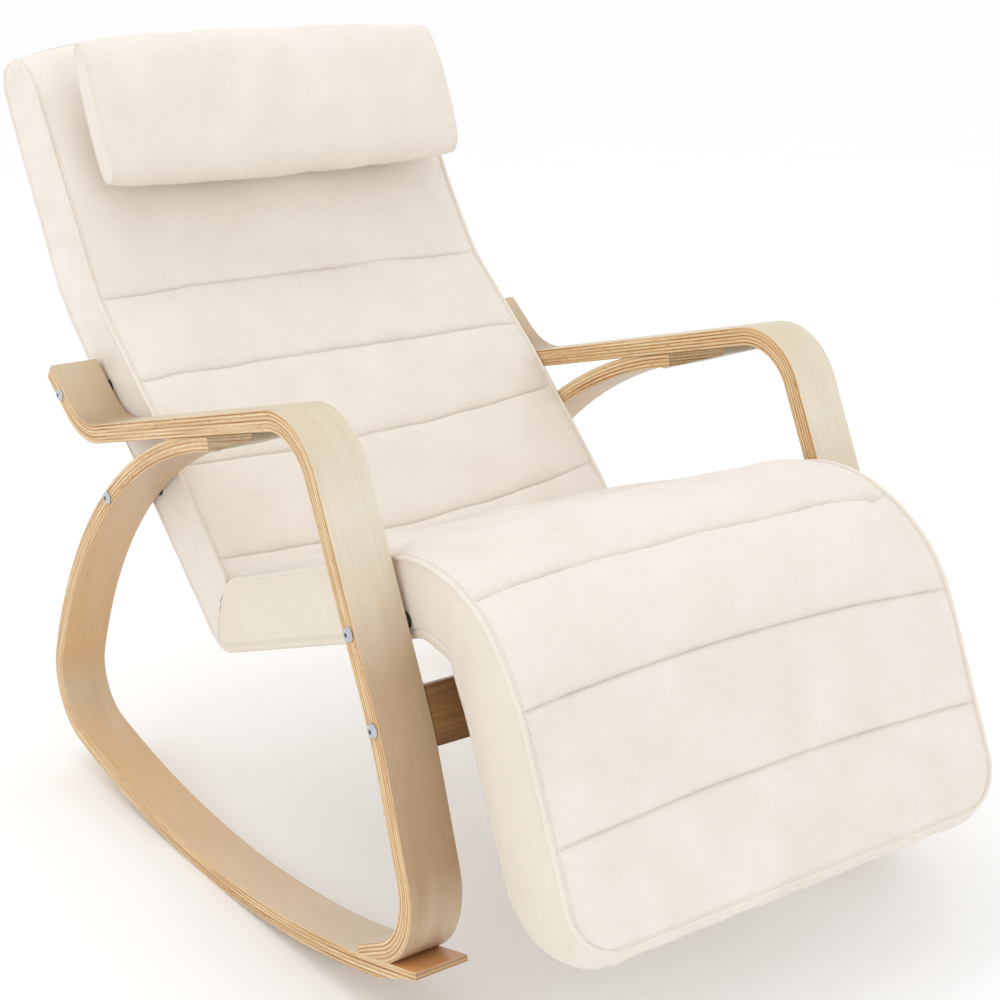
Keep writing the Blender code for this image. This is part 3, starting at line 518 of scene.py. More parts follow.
def waves(x, y, seed, count, shortest, longest, lean=1.0):
    """A smooth random field of about +-1, made of plane waves; lean stretches it along y."""
    random = np.random.RandomState(seed)
    total = np.zeros(np.broadcast(x, y).shape)
    for _ in range(count):
        wavelength = math.exp(random.uniform(math.log(shortest), math.log(longest)))
        angle = random.uniform(0, 2 * math.pi)
        total = total + np.cos(2 * math.pi / wavelength * (x * math.cos(angle) + y * math.sin(angle) / lean)
                               + random.uniform(0, 2 * math.pi))
    return total / math.sqrt(count / 2.0)


# ---- upholstery
GRID = 0.0055  # widest spacing of rows and columns
EDGE_STEPS = np.array((0.0, 0.0016, 0.0034, 0.0055, 0.0085, 0.0125, 0.0175, 0.0235))
SEAM_STEPS = np.array((0.0015, 0.0030, 0.0050, 0.0080, 0.0120))
# Columns of a side panel: shares of its depth from the front, then metres from its rear edge.
SIDE_SHARES = (0.03, 0.08, 0.16, 0.28, 0.42, 0.58, 0.74, 0.88)
REAR_STEPS = np.array((0.0195, 0.0150, 0.0128, 0.0116, 0.0106, 0.0096, 0.0080, 0.0052, 0.0024))
SEWN_AT, HEM = 0.0106, 0.0100  # the side panel's sewn line and hem, from its rear edge
RIM_FALL, STITCH_GAP = 0.0105, 0.0015  # how fast the panel falls to its piping; stitches off a seam
CREST_RUN, TOP_TAPER = 0.075, 0.05  # how long the closed top and its narrowing are


def columns():
    """x as a share of the half width, with finer columns near the piping."""
    inner = HALF - EDGE_STEPS[-1]
    middle = np.linspace(-inner, inner, int(round(2 * inner / GRID)) + 1)
    x = np.concatenate((-(HALF - EDGE_STEPS[:-1]), middle, (HALF - EDGE_STEPS[:-1])[::-1]))
    return x / HALF


def stations(end, seams, extra=()):
    """Distances along the front with finer rows at each seam."""
    near = np.concatenate((-SEAM_STEPS, (0.0,), SEAM_STEPS))
    rows = [0.0, end, *extra]
    for seam in seams:
        rows += [r for r in seam + near if 0 < r < end]
    fixed = sorted(set(np.round(rows, 5)))
    filled = [fixed[0]]
    for a, b in zip(fixed[:-1], fixed[1:]):
        filled += list(np.linspace(a, b, max(1, int(math.ceil((b - a) / GRID))) + 1)[1:])
    return np.array(filled)


def quilt(s, x, seams, end, amount, depth, seed):
    """Height over the panel: crowned channels, a sharp valley at each seam, and gathers near it."""
    marks = [-0.03, *seams, end + 0.03]
    height = np.zeros(np.broadcast(s, x).shape)
    for a, b in zip(marks[:-1], marks[1:]):
        v = np.clip((s - a) / (b - a), 0, 1)
        height = height + np.where((s >= a) & (s < b), amount * (4 * v * (1 - v)) ** 0.6, 0)
    for k, seam in enumerate(seams):
        away = np.abs(s - seam)
        pull = 1 + 0.18 * waves(x, 0 * x, seed + 60 + k, 4, 0.05, 0.20)
        height = height - depth * pull * np.exp(-away / 0.0032)
        gathers = waves(x, (s - seam) * 0.5, seed + 80 + k, 6, 0.012, 0.040, 3.0)
        height = height + 0.00038 * gathers * np.exp(-((away - 0.006) / 0.010) ** 2)
    return height


def fold(s, x, start, end, height, width):
    """A long soft crease from start to end, both (x, s), that fades out at its tips."""
    a, b = np.array(start), np.array(end)
    d = b - a
    long = np.linalg.norm(d)
    d = d / long
    along = (x - a[0]) * d[0] + (s - a[1]) * d[1]
    aside = -(x - a[0]) * d[1] + (s - a[1]) * d[0]
    fade = smooth(along / (0.35 * long)) * smooth((long - along) / (0.35 * long))
    return height * fade * np.exp(-(aside / width) ** 2)


class Pad:
    """A padded cover: front and rear chains in the side plane joined by side panels, as one closed grid."""

    def __init__(self, front, rear, keys, seams, front_sign, height, closed_top=False, corner=0.0,
                 end_bulge=0.0, side_bulge=0.0035, flare=None, sway=None):
        """seams: (left, middle, right) distances along the front for each sewn line.

        flare(s): how far the front's and the rear's edges stand out; sway(s): the left side alone.
        """
        self.u = columns()
        end, rear_end = lengths(front)[-1], lengths(rear)[-1]
        turning = end - corner + corner * np.sin(np.radians(np.linspace(0, 90, 12))) if corner else ()
        self.marks = [(low + high) / 2 for low, _, high in seams]
        self.s = s = stations(end, self.marks, turning)
        self.end, self.closed_top = end, closed_top
        r = np.interp(s, [0, *[k[0] for k in keys], end], [0, *[k[1] for k in keys], rear_end])
        S, U = s[:, None], self.u[None, :]
        self.F, self.R = sample(front, s), sample(rear, r)
        self.tf = tangents(front, s)
        self.nf = front_sign * left_rows(self.tf)
        nr = -front_sign * left_rows(tangents(rear, r, 0.010))
        lean = np.clip((s - (end - corner)) / corner, 0, 1) if corner else np.zeros(len(s))
        self.w = HALF - corner * (1 - np.sqrt(1 - lean ** 2))
        X = U * self.w[:, None]
        inset = self.w[:, None] - np.abs(X)
        rim = 1 - np.exp(-inset / RIM_FALL)
        if corner:
            rim = rim * (1 - np.exp(-(end - S) / RIM_FALL))
        H = height(S, X) * rim - 0.0016 * np.exp(-inset / 0.0024) * (inset > 1e-6)
        HR = 0.0035 * (1 - U ** 4) + 0.0010 * waves(X, S, 7, 10, 0.05, 0.2)
        HR = HR * (1 - np.abs(U) ** 8) + 0 * S
        if closed_top:
            meet = smooth((S - (end - CREST_RUN)) / CREST_RUN)
            crest = 0.0012 * waves(X, 0 * S, 17, 5, 0.08, 0.3) * (1 - U ** 4)
            crest = 0.0235 * (1 - np.abs(U) ** 3.6) + crest
            H, HR = H * (1 - meet) + crest * meet, HR * (1 - meet) + crest * meet
            self.w = self.w - 0.006 * smooth((s - (end - TOP_TAPER)) / TOP_TAPER) ** 2
            X = U * self.w[:, None]
        curved = S + self.bow(seams)
        normal = front_sign * left_rows(tangents(front, curved))
        front_rows = self.place(X, sample(front, curved), normal, H)
        rear_rows = self.place(X, self.R[:, None], nr[:, None], HR)

        depth = np.linalg.norm(self.F - self.R, axis=1)[:, None]
        t = np.concatenate((np.outer(1 - np.minimum(REAR_STEPS[0] / depth, 0.40), SIDE_SHARES),
                            1 - REAR_STEPS / np.maximum(depth, 0.0488)), 1)
        puff = 1 - np.abs(2 * t - 1) ** 2.6
        ragged = 1 + 0.25 * waves(S + 0 * t, 0.05 * t, 11, 6, 0.04, 0.25)
        flat = np.clip(depth / 0.06, 0, 1)
        lean = lean[:, None]
        out = (side_bulge + (end_bulge - side_bulge) * lean ** 2) * puff
        out = out * np.where(lean > 0, 1.0, ragged) * flat
        if corner:
            low_puff = 0.0070 * smooth((S - self.marks[1] - 0.05) / 0.10) * (1 - lean)
            out = out + low_puff * (1 - (1 - np.clip(t / 0.22, 0, 1)) ** 2) * (1 - t ** 4)
        sewn = (1 - t) * depth
        out = out - 0.0013 * np.exp(-((sewn - SEWN_AT) / 0.0011) ** 2) * flat
        out = out + 0.0008 * (sewn < HEM) * flat
        aside, ahead = out * np.sqrt(1 - lean ** 2), out * lean
        sides = []
        for sign, edge in ((1, front_rows[:, -1]), (-1, front_rows[:, 0])):
            mid = edge[:, None, 1:] * (1 - t)[:, :, None] + self.R[:, None, :] * t[:, :, None]
            mid = mid + ahead[:, :, None] * self.tf[:, None, :]
            sides.append(np.concatenate((sign * (self.w[:, None] + aside)[:, :, None], mid), 2))
        self.t_end = t[-1]
        self.NU, self.NT = len(self.u), t.shape[1]
        self.loop = np.concatenate((front_rows, sides[0], rear_rows[:, ::-1], sides[1][:, ::-1]), 1)
        across = np.zeros((len(s), self.NU))
        through = np.concatenate((across, t, across + 1, t[:, ::-1]), 1)
        rear_w = HALF - 0.45 * (HALF - self.w) if corner else self.w
        self.narrow = rear_w / self.w - 1
        self.loop[:, :, 0] *= 1 + through * self.narrow[:, None]
        if flare:
            wide, slim = flare(s)
            self.loop[:, :, 0] *= 1 + (wide[:, None] * (1 - through) + slim[:, None] * through) / HALF
        if sway:
            self.loop[:, :, 0] += sway(s)[:, None] * np.clip(self.loop[:, :, 0] / HALF, 0, 1) ** 2
        self.points = self.loop.reshape(-1, 3)
        self.N, self.M = self.loop.shape[:2]
        self.faces = [(f[0], *f[:0:-1]) for f in swept_faces(self.N, self.M, caps=False)]
        self.start_cap()
        if not closed_top:
            self.end_cap(end_bulge)
        if front_sign < 0:
            self.faces = [f[::-1] for f in self.faces]

    def bow(self, seams):
        """How far each place slides along the front so that the rows follow the curved seams."""
        u = self.u
        shifts = [middle + (high - low) / 2 * u + ((high + low) / 2 - middle) * u ** 2 - mark
                  for (low, middle, high), mark in zip(seams, self.marks)]
        shifts = np.array([0 * u, *shifts, 0 * u])
        places = [0.0, *self.marks, self.end]
        return np.stack([np.interp(self.s, places, shifts[:, j]) for j in range(len(u))], 1)

    @staticmethod
    def place(X, line, normal, height):
        return np.concatenate((X[:, :, None], line + normal * height[:, :, None]), 2)

    def front(self, i, j):
        return i * self.M + j

    def rear(self, i, j):
        return i * self.M + 2 * self.NU + self.NT - 1 - j

    def side(self, i, k, sign):
        base = i * self.M + self.NU
        return base + k if sign > 0 else base + 2 * self.NT + self.NU - 1 - k

    def start_cap(self):
        """Flat strips across the hidden end at the crease."""
        last = self.NU - 1
        front, rear = ([at(0, j) for j in range(last + 1)] for at in (self.front, self.rear))
        left_side, right_side = ([self.side(0, k, sign) for k in range(self.NT)] for sign in (-1, 1))
        for j in range(1, last - 1):
            self.faces.append((front[j + 1], front[j], rear[j], rear[j + 1]))
        self.faces.append((front[1], front[0], *left_side, rear[0], rear[1]))
        self.faces.append((front[last], front[last - 1], rear[last - 1], rear[last], *right_side[::-1]))

    def end_cap(self, bulge):
        """The boxing strip across the far end, swollen outwards."""
        i = self.N - 1
        t = self.t_end
        x = self.loop[-1, 1:self.NU - 1, 0]
        puff = bulge * (1 - np.abs(2 * t - 1) ** 2.6)
        rough = 0.0008 * waves(x[:, None], 0.2 * t[None, :], 23, 8, 0.03, 0.12) * puff[None, :] / bulge
        base = len(self.points)
        mid = self.F[-1][None, :] * (1 - t)[:, None] + self.R[-1][None, :] * t[:, None]
        yz = mid[None, :, :] + (puff[None, :] + rough)[:, :, None] * self.tf[-1][None, None, :]
        wide = x[:, None] * (1 + t * self.narrow[-1])
        extra = np.concatenate((wide[:, :, None], yz), 2)
        self.points = np.concatenate((self.points, extra.reshape(-1, 3)))

        def spot(j, k):
            if k < 0:
                return self.front(i, j)
            if k >= self.NT:
                return self.rear(i, j)
            if j == 0:
                return self.side(i, k, -1)
            if j == self.NU - 1:
                return self.side(i, k, 1)
            return base + (j - 1) * self.NT + k

        for j in range(self.NU - 1):
            for k in range(-1, self.NT):
                self.faces.append((spot(j, k), spot(j + 1, k), spot(j + 1, k + 1), spot(j, k + 1)))

    def build(self, name, side_look=CANVAS):
        made = new_mesh(name, self.points, self.faces, CANVAS, side_look)
        # Faces turned sideways take side_look; the seat passes the canvas copy that paints shade onto its
        # side panels.
        for face in made.data.polygons:
            face.material_index = int(abs(face.normal.x) > 0.75)
        girth = np.concatenate((np.zeros((self.N, 1)),
                                np.cumsum(np.linalg.norm(np.diff(self.loop, axis=1), axis=2), 1)), 1)
        uv = np.stack((girth, np.broadcast_to(self.s[:, None], girth.shape)), 2).reshape(-1, 2)
        if len(self.points) > len(uv):
            rest = self.points[len(uv):]
            uv = np.concatenate((uv, np.stack((rest[:, 0], rest[:, 1] + rest[:, 2]), 1)))
        set_uv(made, uv)
        if self.closed_top:
            with edited(made.data) as work:
                bmesh.ops.remove_doubles(work, verts=work.verts, dist=0.00002)
        return made

    def edge(self, sign):
        """The piped edge of the front panel on one side."""
        return self.loop[:, self.NU - 1 if sign > 0 else 0]

    def column(self, index):
        """Points and outward normals down one column of the front panel."""
        return self.loop[:, index], np.concatenate((np.zeros((self.N, 1)), self.nf), 1)

    def side_row(self, sign):
        """Points and normals of the sewn line on a side panel, near its rear edge."""
        line = self.points[[self.side(i, self.NT - 3, sign) for i in range(2, self.N - 6)]]
        return line, np.broadcast_to(np.array((float(sign), 0, 0)), line.shape)

    def row(self, s, skip=0):
        """Points and normals across the front panel at the row nearest to s."""
        i = int(np.argmin(np.abs(self.s - s)))
        line = self.loop[i, skip:self.NU - skip]
        normal = np.array((0, *self.nf[i]))
        return line, np.broadcast_to(normal, line.shape)

    def sewn_lines(self, *more):
        """The sewn lines beside the seams, at the other places given, and along the edges."""
        rows = [self.row(s, 3) for s in (*(mark + STITCH_GAP for mark in self.marks), *more)]
        return rows + [self.column(3), self.column(self.NU - 4), self.side_row(-1), self.side_row(1)]


# Drawn places: the hidden foot of the crease, corners with their radii, and (left, middle, right) seams.
CREASE_FOOT = (0.0870, 0.3000)
BACK_ROLL, BACK_BELLY = (0.0695, 0.3300, 0.016), (0.2300, 0.4830, 0.450)
BACK_BEND, BACK_TOP_FRONT, TOP_MIDDLE = (0.3780, 0.6050, 0.180), (0.5435, 0.8735, 0.090), (0.5950, 0.8745)
BACK_TOP_REAR, BACK_REAR_BEND = (0.6520, 0.8765, 0.033), (0.4905, 0.5870, 0.240)
LOW_CORNER, SEAT_FOLD = (0.094, 0.2368, 0.050), (0.0620, 0.3372, 0.038)
UNDER, NOTCH, KNEE = (-0.335, 0.3975, 0.030), (-0.3800, 0.3900, 0.008), (-0.4365, 0.5214, 0.180)
FRONT_END, REAR_END = (-0.5893, 0.1644), (-0.4800, 0.1560)
BACK_SEAMS = ((0.110, 0.087, 0.095), (0.199, 0.181, 0.187), (0.278, 0.279, 0.279), (0.375, 0.376, 0.375))
SEAT_SEAMS = ((-0.138, -0.141, -0.142), (-0.409, -0.401, -0.409), (-0.497, -0.491, -0.498),
              (-0.5480, -0.5432, -0.5470))

# Creases as (start, end, height, width), with start and end as (x, distance along the front).
BACK_FOLDS = (((-0.275, 0.055), (-0.10, 0.030), 0.0030, 0.006), ((0.27, 0.20), (0.12, 0.19), 0.0016, 0.007),
              ((-0.275, 0.17), (-0.16, 0.145), 0.0014, 0.007), ((0.275, 0.30), (0.17, 0.33), 0.0014, 0.008))
SEAT_FOLDS = (((-0.275, 0.012), (-0.02, 0.064), 0.0066, 0.008),
              ((-0.275, 0.040), (-0.06, 0.105), 0.0036, 0.009),
              ((0.275, 0.020), (0.05, 0.060), 0.0042, 0.009))
KNEE_FOLDS = (((0.275, -0.020), (0.19, -0.055), 0.0030, 0.010),  # measured from the knee's seam
              ((-0.27, 0.05), (-0.18, 0.02), 0.0013, 0.008))
KNEE_DIMPLES = ((0.256, 0.0085, 0.013), (-0.262, 0.0040, 0.012))  # x, depth, width


def at_y(path, y):
    """How far along the path it passes a drawn y."""
    sign = 1 if path[-1, 0] > path[0, 0] else -1
    towards = sign * path[:, 0]
    first = int(np.argmin(towards))
    return float(np.interp(sign * (y + SHIFT), towards[first:], lengths(path)[first:]))


def padding(S, X, folds):
    """What both panels share: the crown, the tuck at the crease, and soft creases."""
    crown = 0.0060 * (1 - (np.abs(X) / HALF) ** 3)
    return crown - 0.004 * np.exp(-S / 0.012) + sum(fold(S, X, *row) for row in folds)


def back_height(S, X):
    lumps = 0.0012 * waves(X, S, 3, 12, 0.06, 0.20, 1.4)
    quilted = quilt(S, X, back_seam_s, back_front_end, 0.0048, 0.0040, 100)
    return padding(S, X, BACK_FOLDS) + lumps + quilted


def seat_height(S, X):
    knee = seat_seam_s[1]
    lumps = 0.0014 * waves(X, S, 5, 12, 0.07, 0.22, 1.3)
    quilted = quilt(S, X, seat_seam_s, seat_front_end, 0.0052, 0.0040, 300)
    creases = padding(S, X, SEAT_FOLDS) + sum(fold(S - knee, X, *row) for row in KNEE_FOLDS)
    for x, deep, wide in KNEE_DIMPLES:
        creases = creases - deep * np.exp(-(((X - x) / wide) ** 2 + ((S - knee) / 0.010) ** 2))
    return creases + lumps + quilted


# The rounded lower rear corner is shared between the back and the seat.
corner_path = fillet((BACK_REAR_BEND[:2], LOW_CORNER, UNDER[:2]))
corner_split = len(corner_path) // 2
back_front = fillet((CREASE_FOOT, BACK_ROLL, BACK_BELLY, BACK_BEND, BACK_TOP_FRONT, TOP_MIDDLE))
back_rear_raw = fillet((LOW_CORNER[:2], BACK_REAR_BEND, BACK_TOP_REAR, TOP_MIDDLE))
back_rear = np.concatenate((corner_path[1:corner_split + 1][::-1], back_rear_raw[1:]))
seat_front = fillet((CREASE_FOOT, SEAT_FOLD, KNEE, FRONT_END))
seat_rear_raw = fillet((LOW_CORNER[:2], UNDER, NOTCH, REAR_END))
seat_rear = np.concatenate((corner_path[corner_split:-1], seat_rear_raw[1:]))
back_front_end, seat_front_end = lengths(back_front)[-1], lengths(seat_front)[-1]
back_seams = [tuple(at_y(back_front, y) for y in row[::-1]) for row in BACK_SEAMS]
seat_seams = [tuple(at_y(seat_front, y) for y in row) for row in SEAT_SEAMS]
back_seam_s = [(row[0] + row[2]) / 2 for row in back_seams]
seat_seam_s = [(row[0] + row[2]) / 2 for row in seat_seams]


def back_sway(s):
    """The lower back's left edge lies a little further out."""
    return 0.0048 * smooth(s / 0.06) * (1 - smooth((s - 0.42) / 0.14))


def foot_flare(s):
    """Below the knee the front edge stands out and the rear edge draws in."""
    low = smooth((s - seat_seam_s[1]) / 0.10)
    return 0.0040 * low, -0.0030 * low


def make_back():
    keys = [(nearest(back_front, BACK_BEND[:2]), nearest(back_rear, BACK_REAR_BEND[:2])),
            (back_front_end - 0.110, lengths(back_rear)[-1] - 0.100)]
    pad = Pad(back_front, back_rear, keys, back_seams, 1, back_height, closed_top=True, sway=back_sway)
    cover = pad.build("back_upholstery")
    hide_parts("back_cushion", "back_rear_cover")
    pipes = piping("back_piping", [pad.edge(-1), pad.edge(1)], PIPING)
    sewn = stitches("back_stitches", pad.sewn_lines())
    for piece in (cover, pipes, sewn):
        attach(piece, "frame")
    return pad


def make_seat():
    keys = [(nearest(seat_front, (-0.405, 0.462)), nearest(seat_rear, NOTCH[:2]))]
    pad = Pad(seat_front, seat_rear, keys, seat_seams, -1, seat_height, corner=0.050, end_bulge=0.029,
              flare=foot_flare)
    # The side panels take the canvas copy with painted shade.
    cover = pad.build("seat_upholstery", SHADED_SIDE_CANVAS)
    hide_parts("seat_cushion", "seat_under_cover", "footrest_cushion", "footrest_rear_cover",
                "knee_roll")
    border = np.concatenate((pad.edge(-1), pad.loop[-1, 1:pad.NU - 1], pad.edge(1)[::-1]))
    pipes = piping("seat_piping", [border], PIPING)
    sewn = stitches("seat_stitches", pad.sewn_lines(pad.end - 0.0045))
    for piece in (cover, pipes, sewn):
        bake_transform(piece)


def make_loop_tape(pad):
    """The band of loop tape sewn to the head section, behind the pillow."""
    foot = nearest(back_front, (0.380, 0.619))
    low, high, half = foot + 0.140, foot + 0.236, 0.150
    rows = [i for i, s in enumerate(pad.s) if low <= s <= high]
    used = [j for j in range(pad.NU) if abs(pad.u[j] * HALF) <= half]
    grid = pad.loop[np.ix_(rows, used)]
    out = np.concatenate((np.zeros((len(rows), 1)), pad.nf[rows]), 1)[:, None]
    layers = np.stack((grid + out * 0.0012, grid - out * 0.0006)).reshape(-1, 3)
    n, m = len(rows), len(used)
    faces = []
    for i in range(n - 1):
        for j in range(m - 1):
            a = i * m + j
            quad = (a, a + 1, a + m + 1, a + m)
            faces += [quad, tuple(n * m + v for v in quad[::-1])]
    rim = (list(range(m)) + [i * m + m - 1 for i in range(1, n)]
           + [(n - 1) * m + j for j in range(m - 2, -1, -1)] + [i * m for i in range(n - 2, 0, -1)])
    faces += [(b, a, n * m + a, n * m + b) for a, b in zip(rim, rim[1:] + rim[:1])]
    tape = new_mesh("loop_tape", layers, faces, TAPE)
    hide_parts("back_loop_tape")
    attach(tape, "frame")


# ---- head pillow
# Sections as (up the head section, out from it): the end panels' outline and the fuller middle.
HEAD_BASE, HEAD_DIR = np.array((0.380 + SHIFT, 0.6190)), np.array((0.4960, 0.8683))
HEAD_OUT = left(HEAD_DIR)
PILLOW_HALF, PILLOW_MIDDLE = 0.250, 0.006
PILLOW_END = (
    (0.1135, 0.048), (0.119, 0.0635), (0.135, 0.0725), (0.165, 0.0765), (0.205, 0.0805), (0.245, 0.0825),
    (0.272, 0.0805), (0.286, 0.0720), (0.286, 0.0580), (0.264, 0.0480), (0.216, 0.0440), (0.160, 0.0390),
    (0.1260, 0.0385))
PILLOW_FULL = (
    (0.1080, 0.036), (0.1060, 0.0600), (0.1230, 0.0800), (0.160, 0.0895), (0.205, 0.0945),
    (0.250, 0.0930), (0.281, 0.0830), (0.301, 0.0620), (0.305, 0.0360), (0.286, 0.0100),
    (0.230, 0.0000), (0.160, 0.0020), (0.1240, 0.0120))
PILLOW_EDGE = np.array((0.0, 0.0015, 0.004, 0.009, 0.016, 0.024))
PILLOW_STATIONS, ROUNDING = 84, 7
BOXING, BOXING_SEWN = (0.955, 0.86, 0.70, 0.48, 0.24), 0.86  # shares of the end's outline
BOXING_FRONT = 8  # how many points of the outline the sewn line follows


def rounded(points, steps=ROUNDING):
    """A closed smooth curve through the points."""
    p = np.array(points)
    t = (np.arange(steps) / steps)[None, :, None]
    a, b, c, d = (np.roll(p, k, 0)[:, None] for k in (1, 0, -1, -2))
    curve = 2 * b + (c - a) * t + (2 * a - 5 * b + 4 * c - d) * t ** 2 + (3 * b - a - 3 * c + d) * t ** 3
    return (0.5 * curve).reshape(-1, 2)


def make_pillow():
    """A bolster with a narrow lens-shaped boxing panel at each end."""
    half = PILLOW_HALF
    thin, full = rounded(PILLOW_END), rounded(PILLOW_FULL)
    count, rings = len(thin), []
    inner = half - PILLOW_EDGE[-1]
    ends = half - PILLOW_EDGE[:-1]
    xs = np.concatenate((-ends, np.linspace(-inner, inner, PILLOW_STATIONS), ends[::-1]))
    girth = np.arange(count) / count * 0.45
    for x in xs:
        u = abs(x) / half
        g = (1 - u ** 2.4) ** 0.62
        section = thin + (full - thin) * g
        place = np.full(count, x)
        lump = 0.0013 * waves(place, girth, 31, 12, 0.06, 0.20) * g
        pucker = 0.0007 * waves(place * 0.3, girth, 37, 8, 0.010, 0.030)
        pucker = pucker * math.exp(-(half - abs(x)) / 0.012)
        ahead = section - section.mean(0)
        section = section + ahead / np.linalg.norm(ahead, axis=1)[:, None] * (lump + pucker)[:, None]
        section[:, 1] = np.maximum(section[:, 1], 0.0005)
        yz = HEAD_BASE + np.outer(section[:, 0], HEAD_DIR) + np.outer(section[:, 1], HEAD_OUT)
        reach = x * (1 + 0.012 * np.exp(-((section[:, 0] - 0.19) / 0.06) ** 2) * u ** 3)
        rings.append(np.column_stack((reach + PILLOW_MIDDLE, yz)))
    points = np.concatenate(rings)
    faces = swept_faces(len(xs), count, caps=False)
    seams, sewn = [], []
    for side, ring in ((-1, 0), (1, len(xs) - 1)):
        rim = rings[ring]
        seams.append(np.concatenate((rim, rim[:1])))
        middle = rim.mean(0)
        previous = [ring * count + k for k in range(count)]
        for share in BOXING:
            puffed = middle + (rim - middle) * share
            groove = 0.0012 * math.exp(-((share - BOXING_SEWN) / 0.05) ** 2)
            puffed[:, 0] += side * (0.0055 * (1 - share ** 2.2) - groove)
            if share == BOXING_SEWN:
                line = puffed[:ROUNDING * BOXING_FRONT]
                sewn.append((line, np.broadcast_to(np.array((float(side), 0, 0)), line.shape)))
            now = [len(points) + k for k in range(count)]
            points = np.concatenate((points, puffed))
            for k in range(count):
                m = (k + 1) % count
                quad = (previous[k], previous[m], now[m], now[k])
                faces.append(quad if side < 0 else quad[::-1])
            previous = now
        faces.append(tuple(previous) if side < 0 else tuple(reversed(previous)))
    pillow = new_mesh("pillow_cover", points, faces, CANVAS)
    with edited(pillow.data) as work:
        bmesh.ops.recalc_face_normals(work, faces=work.faces)
    line_uv(pillow)
    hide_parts("head_pillow")
    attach(pillow, "pillow")
    for piece in (piping("pillow_seam", seams, 0.0011, 0.004), stitches("pillow_stitches", sewn)):
        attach(piece, "pillow")


# ---- bentwood
ARM_PATH = ((0.380, 0.5255), (0.298, 0.464, 0.090), (-0.219, 0.601, 0.074), (-0.356, 0.310, 0.450),
            (-0.416, 0.1196, 0.082), (-0.3149, 0.064))
ARM_THICK, ROCKER_THICK, STRIP_MIDDLE, STRIP_HALF = 0.022, 0.020, 0.315, 0.030
SOLE_RADIUS, SOLE_Y, SOLE_FRONT, STRIP_GAP = 1.360, 0.036, 15.7, 0.0003
HEEL_RADIUS, RISER_CENTRE, RISER_RADIUS, RISER_TOP = 0.070, (-0.173, -0.0835), 0.6325, 77.3
TOE_Y, TOE_THICK, TOE_CUT = -0.4197, 0.0075, 24.7


def bow(centre, radius, start, end, steps):
    a = np.radians(np.linspace(start, end, steps + 1))
    return np.array(centre) + radius * np.stack((np.cos(a), np.sin(a)), 1)


def rocker_path():
    """The rocker's centre line: toe, sole, heel tangent to sole and riser, riser."""
    sole, riser = np.array((SOLE_Y, SOLE_RADIUS + ROCKER_THICK / 2)), np.array(RISER_CENTRE)
    to_sole, to_riser = SOLE_RADIUS - HEEL_RADIUS, RISER_RADIUS - HEEL_RADIUS
    span = riser - sole
    gap = np.linalg.norm(span)
    along = (to_sole ** 2 - to_riser ** 2 + gap ** 2) / (2 * gap)
    heel = sole + span / gap * along + left(span / gap) * math.sqrt(to_sole ** 2 - along ** 2)
    a, b = (math.degrees(math.atan2(*(heel - c)[::-1])) for c in (sole, riser))
    first = bow(sole, SOLE_RADIUS, -90 - SOLE_FRONT, a, 80)
    rise = (first[0, 0] - TOE_Y) * math.tan(math.radians(SOLE_FRONT))
    toe = np.array((TOE_Y, first[0, 1] + rise))
    path = np.concatenate((toe[None], first, bow(heel, HEEL_RADIUS, a, b, 40)[1:],
                           bow(riser, RISER_RADIUS, b, RISER_TOP, 60)[1:]))
    return path + (SHIFT, 0)


def strip_uv(obj, path):
    """UV: metres along the strip's centre line, and metres off it."""
    co = np.array([v.co for v in obj.data.vertices])[:, 1:]
    a, b = path[:-1], path[1:]
    d = b - a
    long = np.linalg.norm(d, axis=1)
    run = lengths(path)
    t = ((co[:, None] - a) * d).sum(2) / long ** 2
    t[:, 1:-1] = np.clip(t[:, 1:-1], 0, 1)
    t[:, 0] = np.minimum(t[:, 0], 1)
    t[:, -1] = np.maximum(t[:, -1], 0)
    off = co[:, None] - (a + t[..., None] * d)
    best = (off ** 2).sum(2).argmin(1)
    pick = np.arange(len(co))
    along = run[best] + t[pick, best] * long[best]
    normal = left_rows(d) / long[:, None]
    through = (off[pick, best] * normal[best]).sum(1)
    set_uv(obj, np.stack((along, through), 1))


def bent_strip(name, node, path, thick, side, cuts, looks, ease=0.0012):
    """A 60 mm wide strip swept along the path, with eased edges and ends cut by (point, kept direction)."""
    middle, half = side * STRIP_MIDDLE, STRIP_HALF
    section = []
    for x_sign, n_sign, start in ((1, 1, 0), (-1, 1, 90), (-1, -1, 180), (1, -1, 270)):
        for k in range(4):
            a = math.radians(start + 30 * k)
            section.append((x_sign * (half - ease) + ease * math.cos(a),
                            n_sign * (thick / 2 - ease) + ease * math.sin(a)))
    ahead = np.concatenate((path[1:2] - path[:1], path[2:] - path[:-2], path[-1:] - path[-2:-1]))
    ahead /= np.linalg.norm(ahead, axis=1)[:, None]
    normal = left_rows(ahead)
    points = [(middle + x, *(p + n * off)) for p, n in zip(path, normal) for x, off in section]
    made = new_mesh(name, points, swept_faces(len(path), len(section)), *looks)
    with edited(made.data) as work:
        for face in work.faces:
            face.material_index = int(len(face.verts) > 4)
        for point, kept in cuts:
            bmesh.ops.bisect_plane(work, geom=work.verts[:] + work.edges[:] + work.faces[:],
                                   plane_co=(0, *point), plane_no=(0, *kept), clear_inner=True)
            holes = [edge for edge in work.edges if edge.is_boundary]
            for face in bmesh.ops.holes_fill(work, edges=holes)["faces"]:
                face.material_index = 1
        bmesh.ops.recalc_face_normals(work, faces=work.faces)
    made.data.shade_smooth()
    made.data.set_sharp_from_angle(angle=math.radians(40))
    strip_uv(made, path)
    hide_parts(node)
    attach(made, "frame")


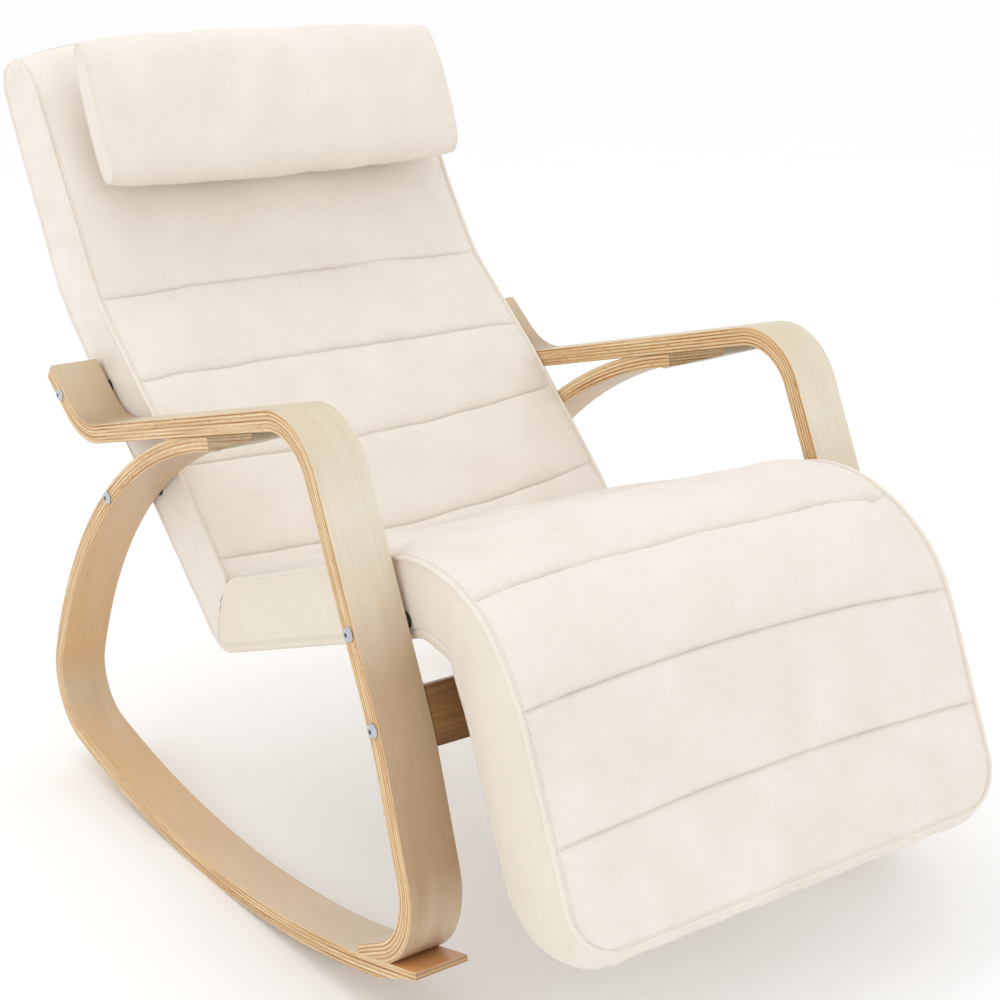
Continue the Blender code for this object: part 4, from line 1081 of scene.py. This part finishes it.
def eased_wedge(side, path):
    """The CAD wedge as a new piece with eased edges."""
    mesh = frame["nodes"][f"arm_wedge_{side}"].data.copy()
    with edited(mesh) as work:
        bmesh.ops.remove_doubles(work, verts=work.verts, dist=0.00001)
        bmesh.ops.dissolve_limit(work, angle_limit=math.radians(0.3), verts=work.verts, edges=work.edges)
        sharp = [edge for edge in work.edges if edge.calc_face_angle(0) > math.radians(35)]
        bmesh.ops.bevel(work, geom=sharp, offset=0.0007, segments=2, affect="EDGES", clamp_overlap=True)
    made = linked(f"wedge_{side}", mesh)
    mesh.materials.clear()
    mesh.materials.append(BIRCH_WEDGE)
    for layer in list(mesh.uv_layers):
        mesh.uv_layers.remove(layer)
    mesh.shade_flat()
    strip_uv(made, path)
    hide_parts(f"arm_wedge_{side}")
    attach(made, "frame")


def make_bentwood():
    arm, rocker = fillet(ARM_PATH), rocker_path()
    toe_dir = unit(rocker[1] - rocker[0])
    toe_top = rocker[0] + left(toe_dir) * ROCKER_THICK / 2
    arm_back, arm_front = (np.array(ARM_PATH[i][:2]) for i in (1, 2))
    arm_dir = unit(arm_front - arm_back)
    arm_under = arm_front + (SHIFT, 0) + left(arm_dir) * (ARM_THICK / 2 + STRIP_GAP)
    toe_cut = math.radians(TOE_CUT)
    for name, side in (("left", 1), ("right", -1)):
        bent_strip(f"bent_arm_{name}", f"arm_and_leg_{name}", arm, ARM_THICK, side,
                   [(toe_top + left(toe_dir) * STRIP_GAP, left(toe_dir))], (BIRCH_ARM, BIRCH_ARM_END))
        bent_strip(f"bent_rocker_{name}", f"rocker_{name}", rocker, ROCKER_THICK, side,
                   [(arm_under, left(arm_dir)),
                    (toe_top - (0, TOE_THICK), (math.sin(toe_cut), math.cos(toe_cut)))],
                   (BIRCH_ROCKER, BIRCH_ROCKER_END))
        eased_wedge(name, arm)


def dress_cad():
    """Procedural finishes for the CAD nodes that stay, by their material slot."""
    slots = {row["node"]: row["material_slot"] for row in frame["record"]["subparts"]}
    for name, node in frame["nodes"].items():
        node.data.materials.clear()
        node.data.materials.append(LOOKS[slots[name]])
        if "bolt" in name or "boss" in name:
            node.data.shade_smooth()
            node.data.set_sharp_from_angle(angle=math.radians(35))


def add_stage():
    bpy.ops.mesh.primitive_plane_add(size=FLOOR_SIZE)
    ground = bpy.context.object
    ground.name = "floor"
    ground.data.materials.append(floor_material())
    world = bpy.data.worlds.new("world")
    scene.world = world
    world.use_nodes = True
    background = world.node_tree.nodes["Background"]
    background.inputs[0].default_value = (1, 1, 1, 1)
    background.inputs[1].default_value = WORLD_LIGHT
    for light in LIGHTS:
        add_light(*light)


add_camera()
add_stage()
dress_cad()
make_bentwood()
make_loop_tape(make_back())
make_seat()
make_pillow()
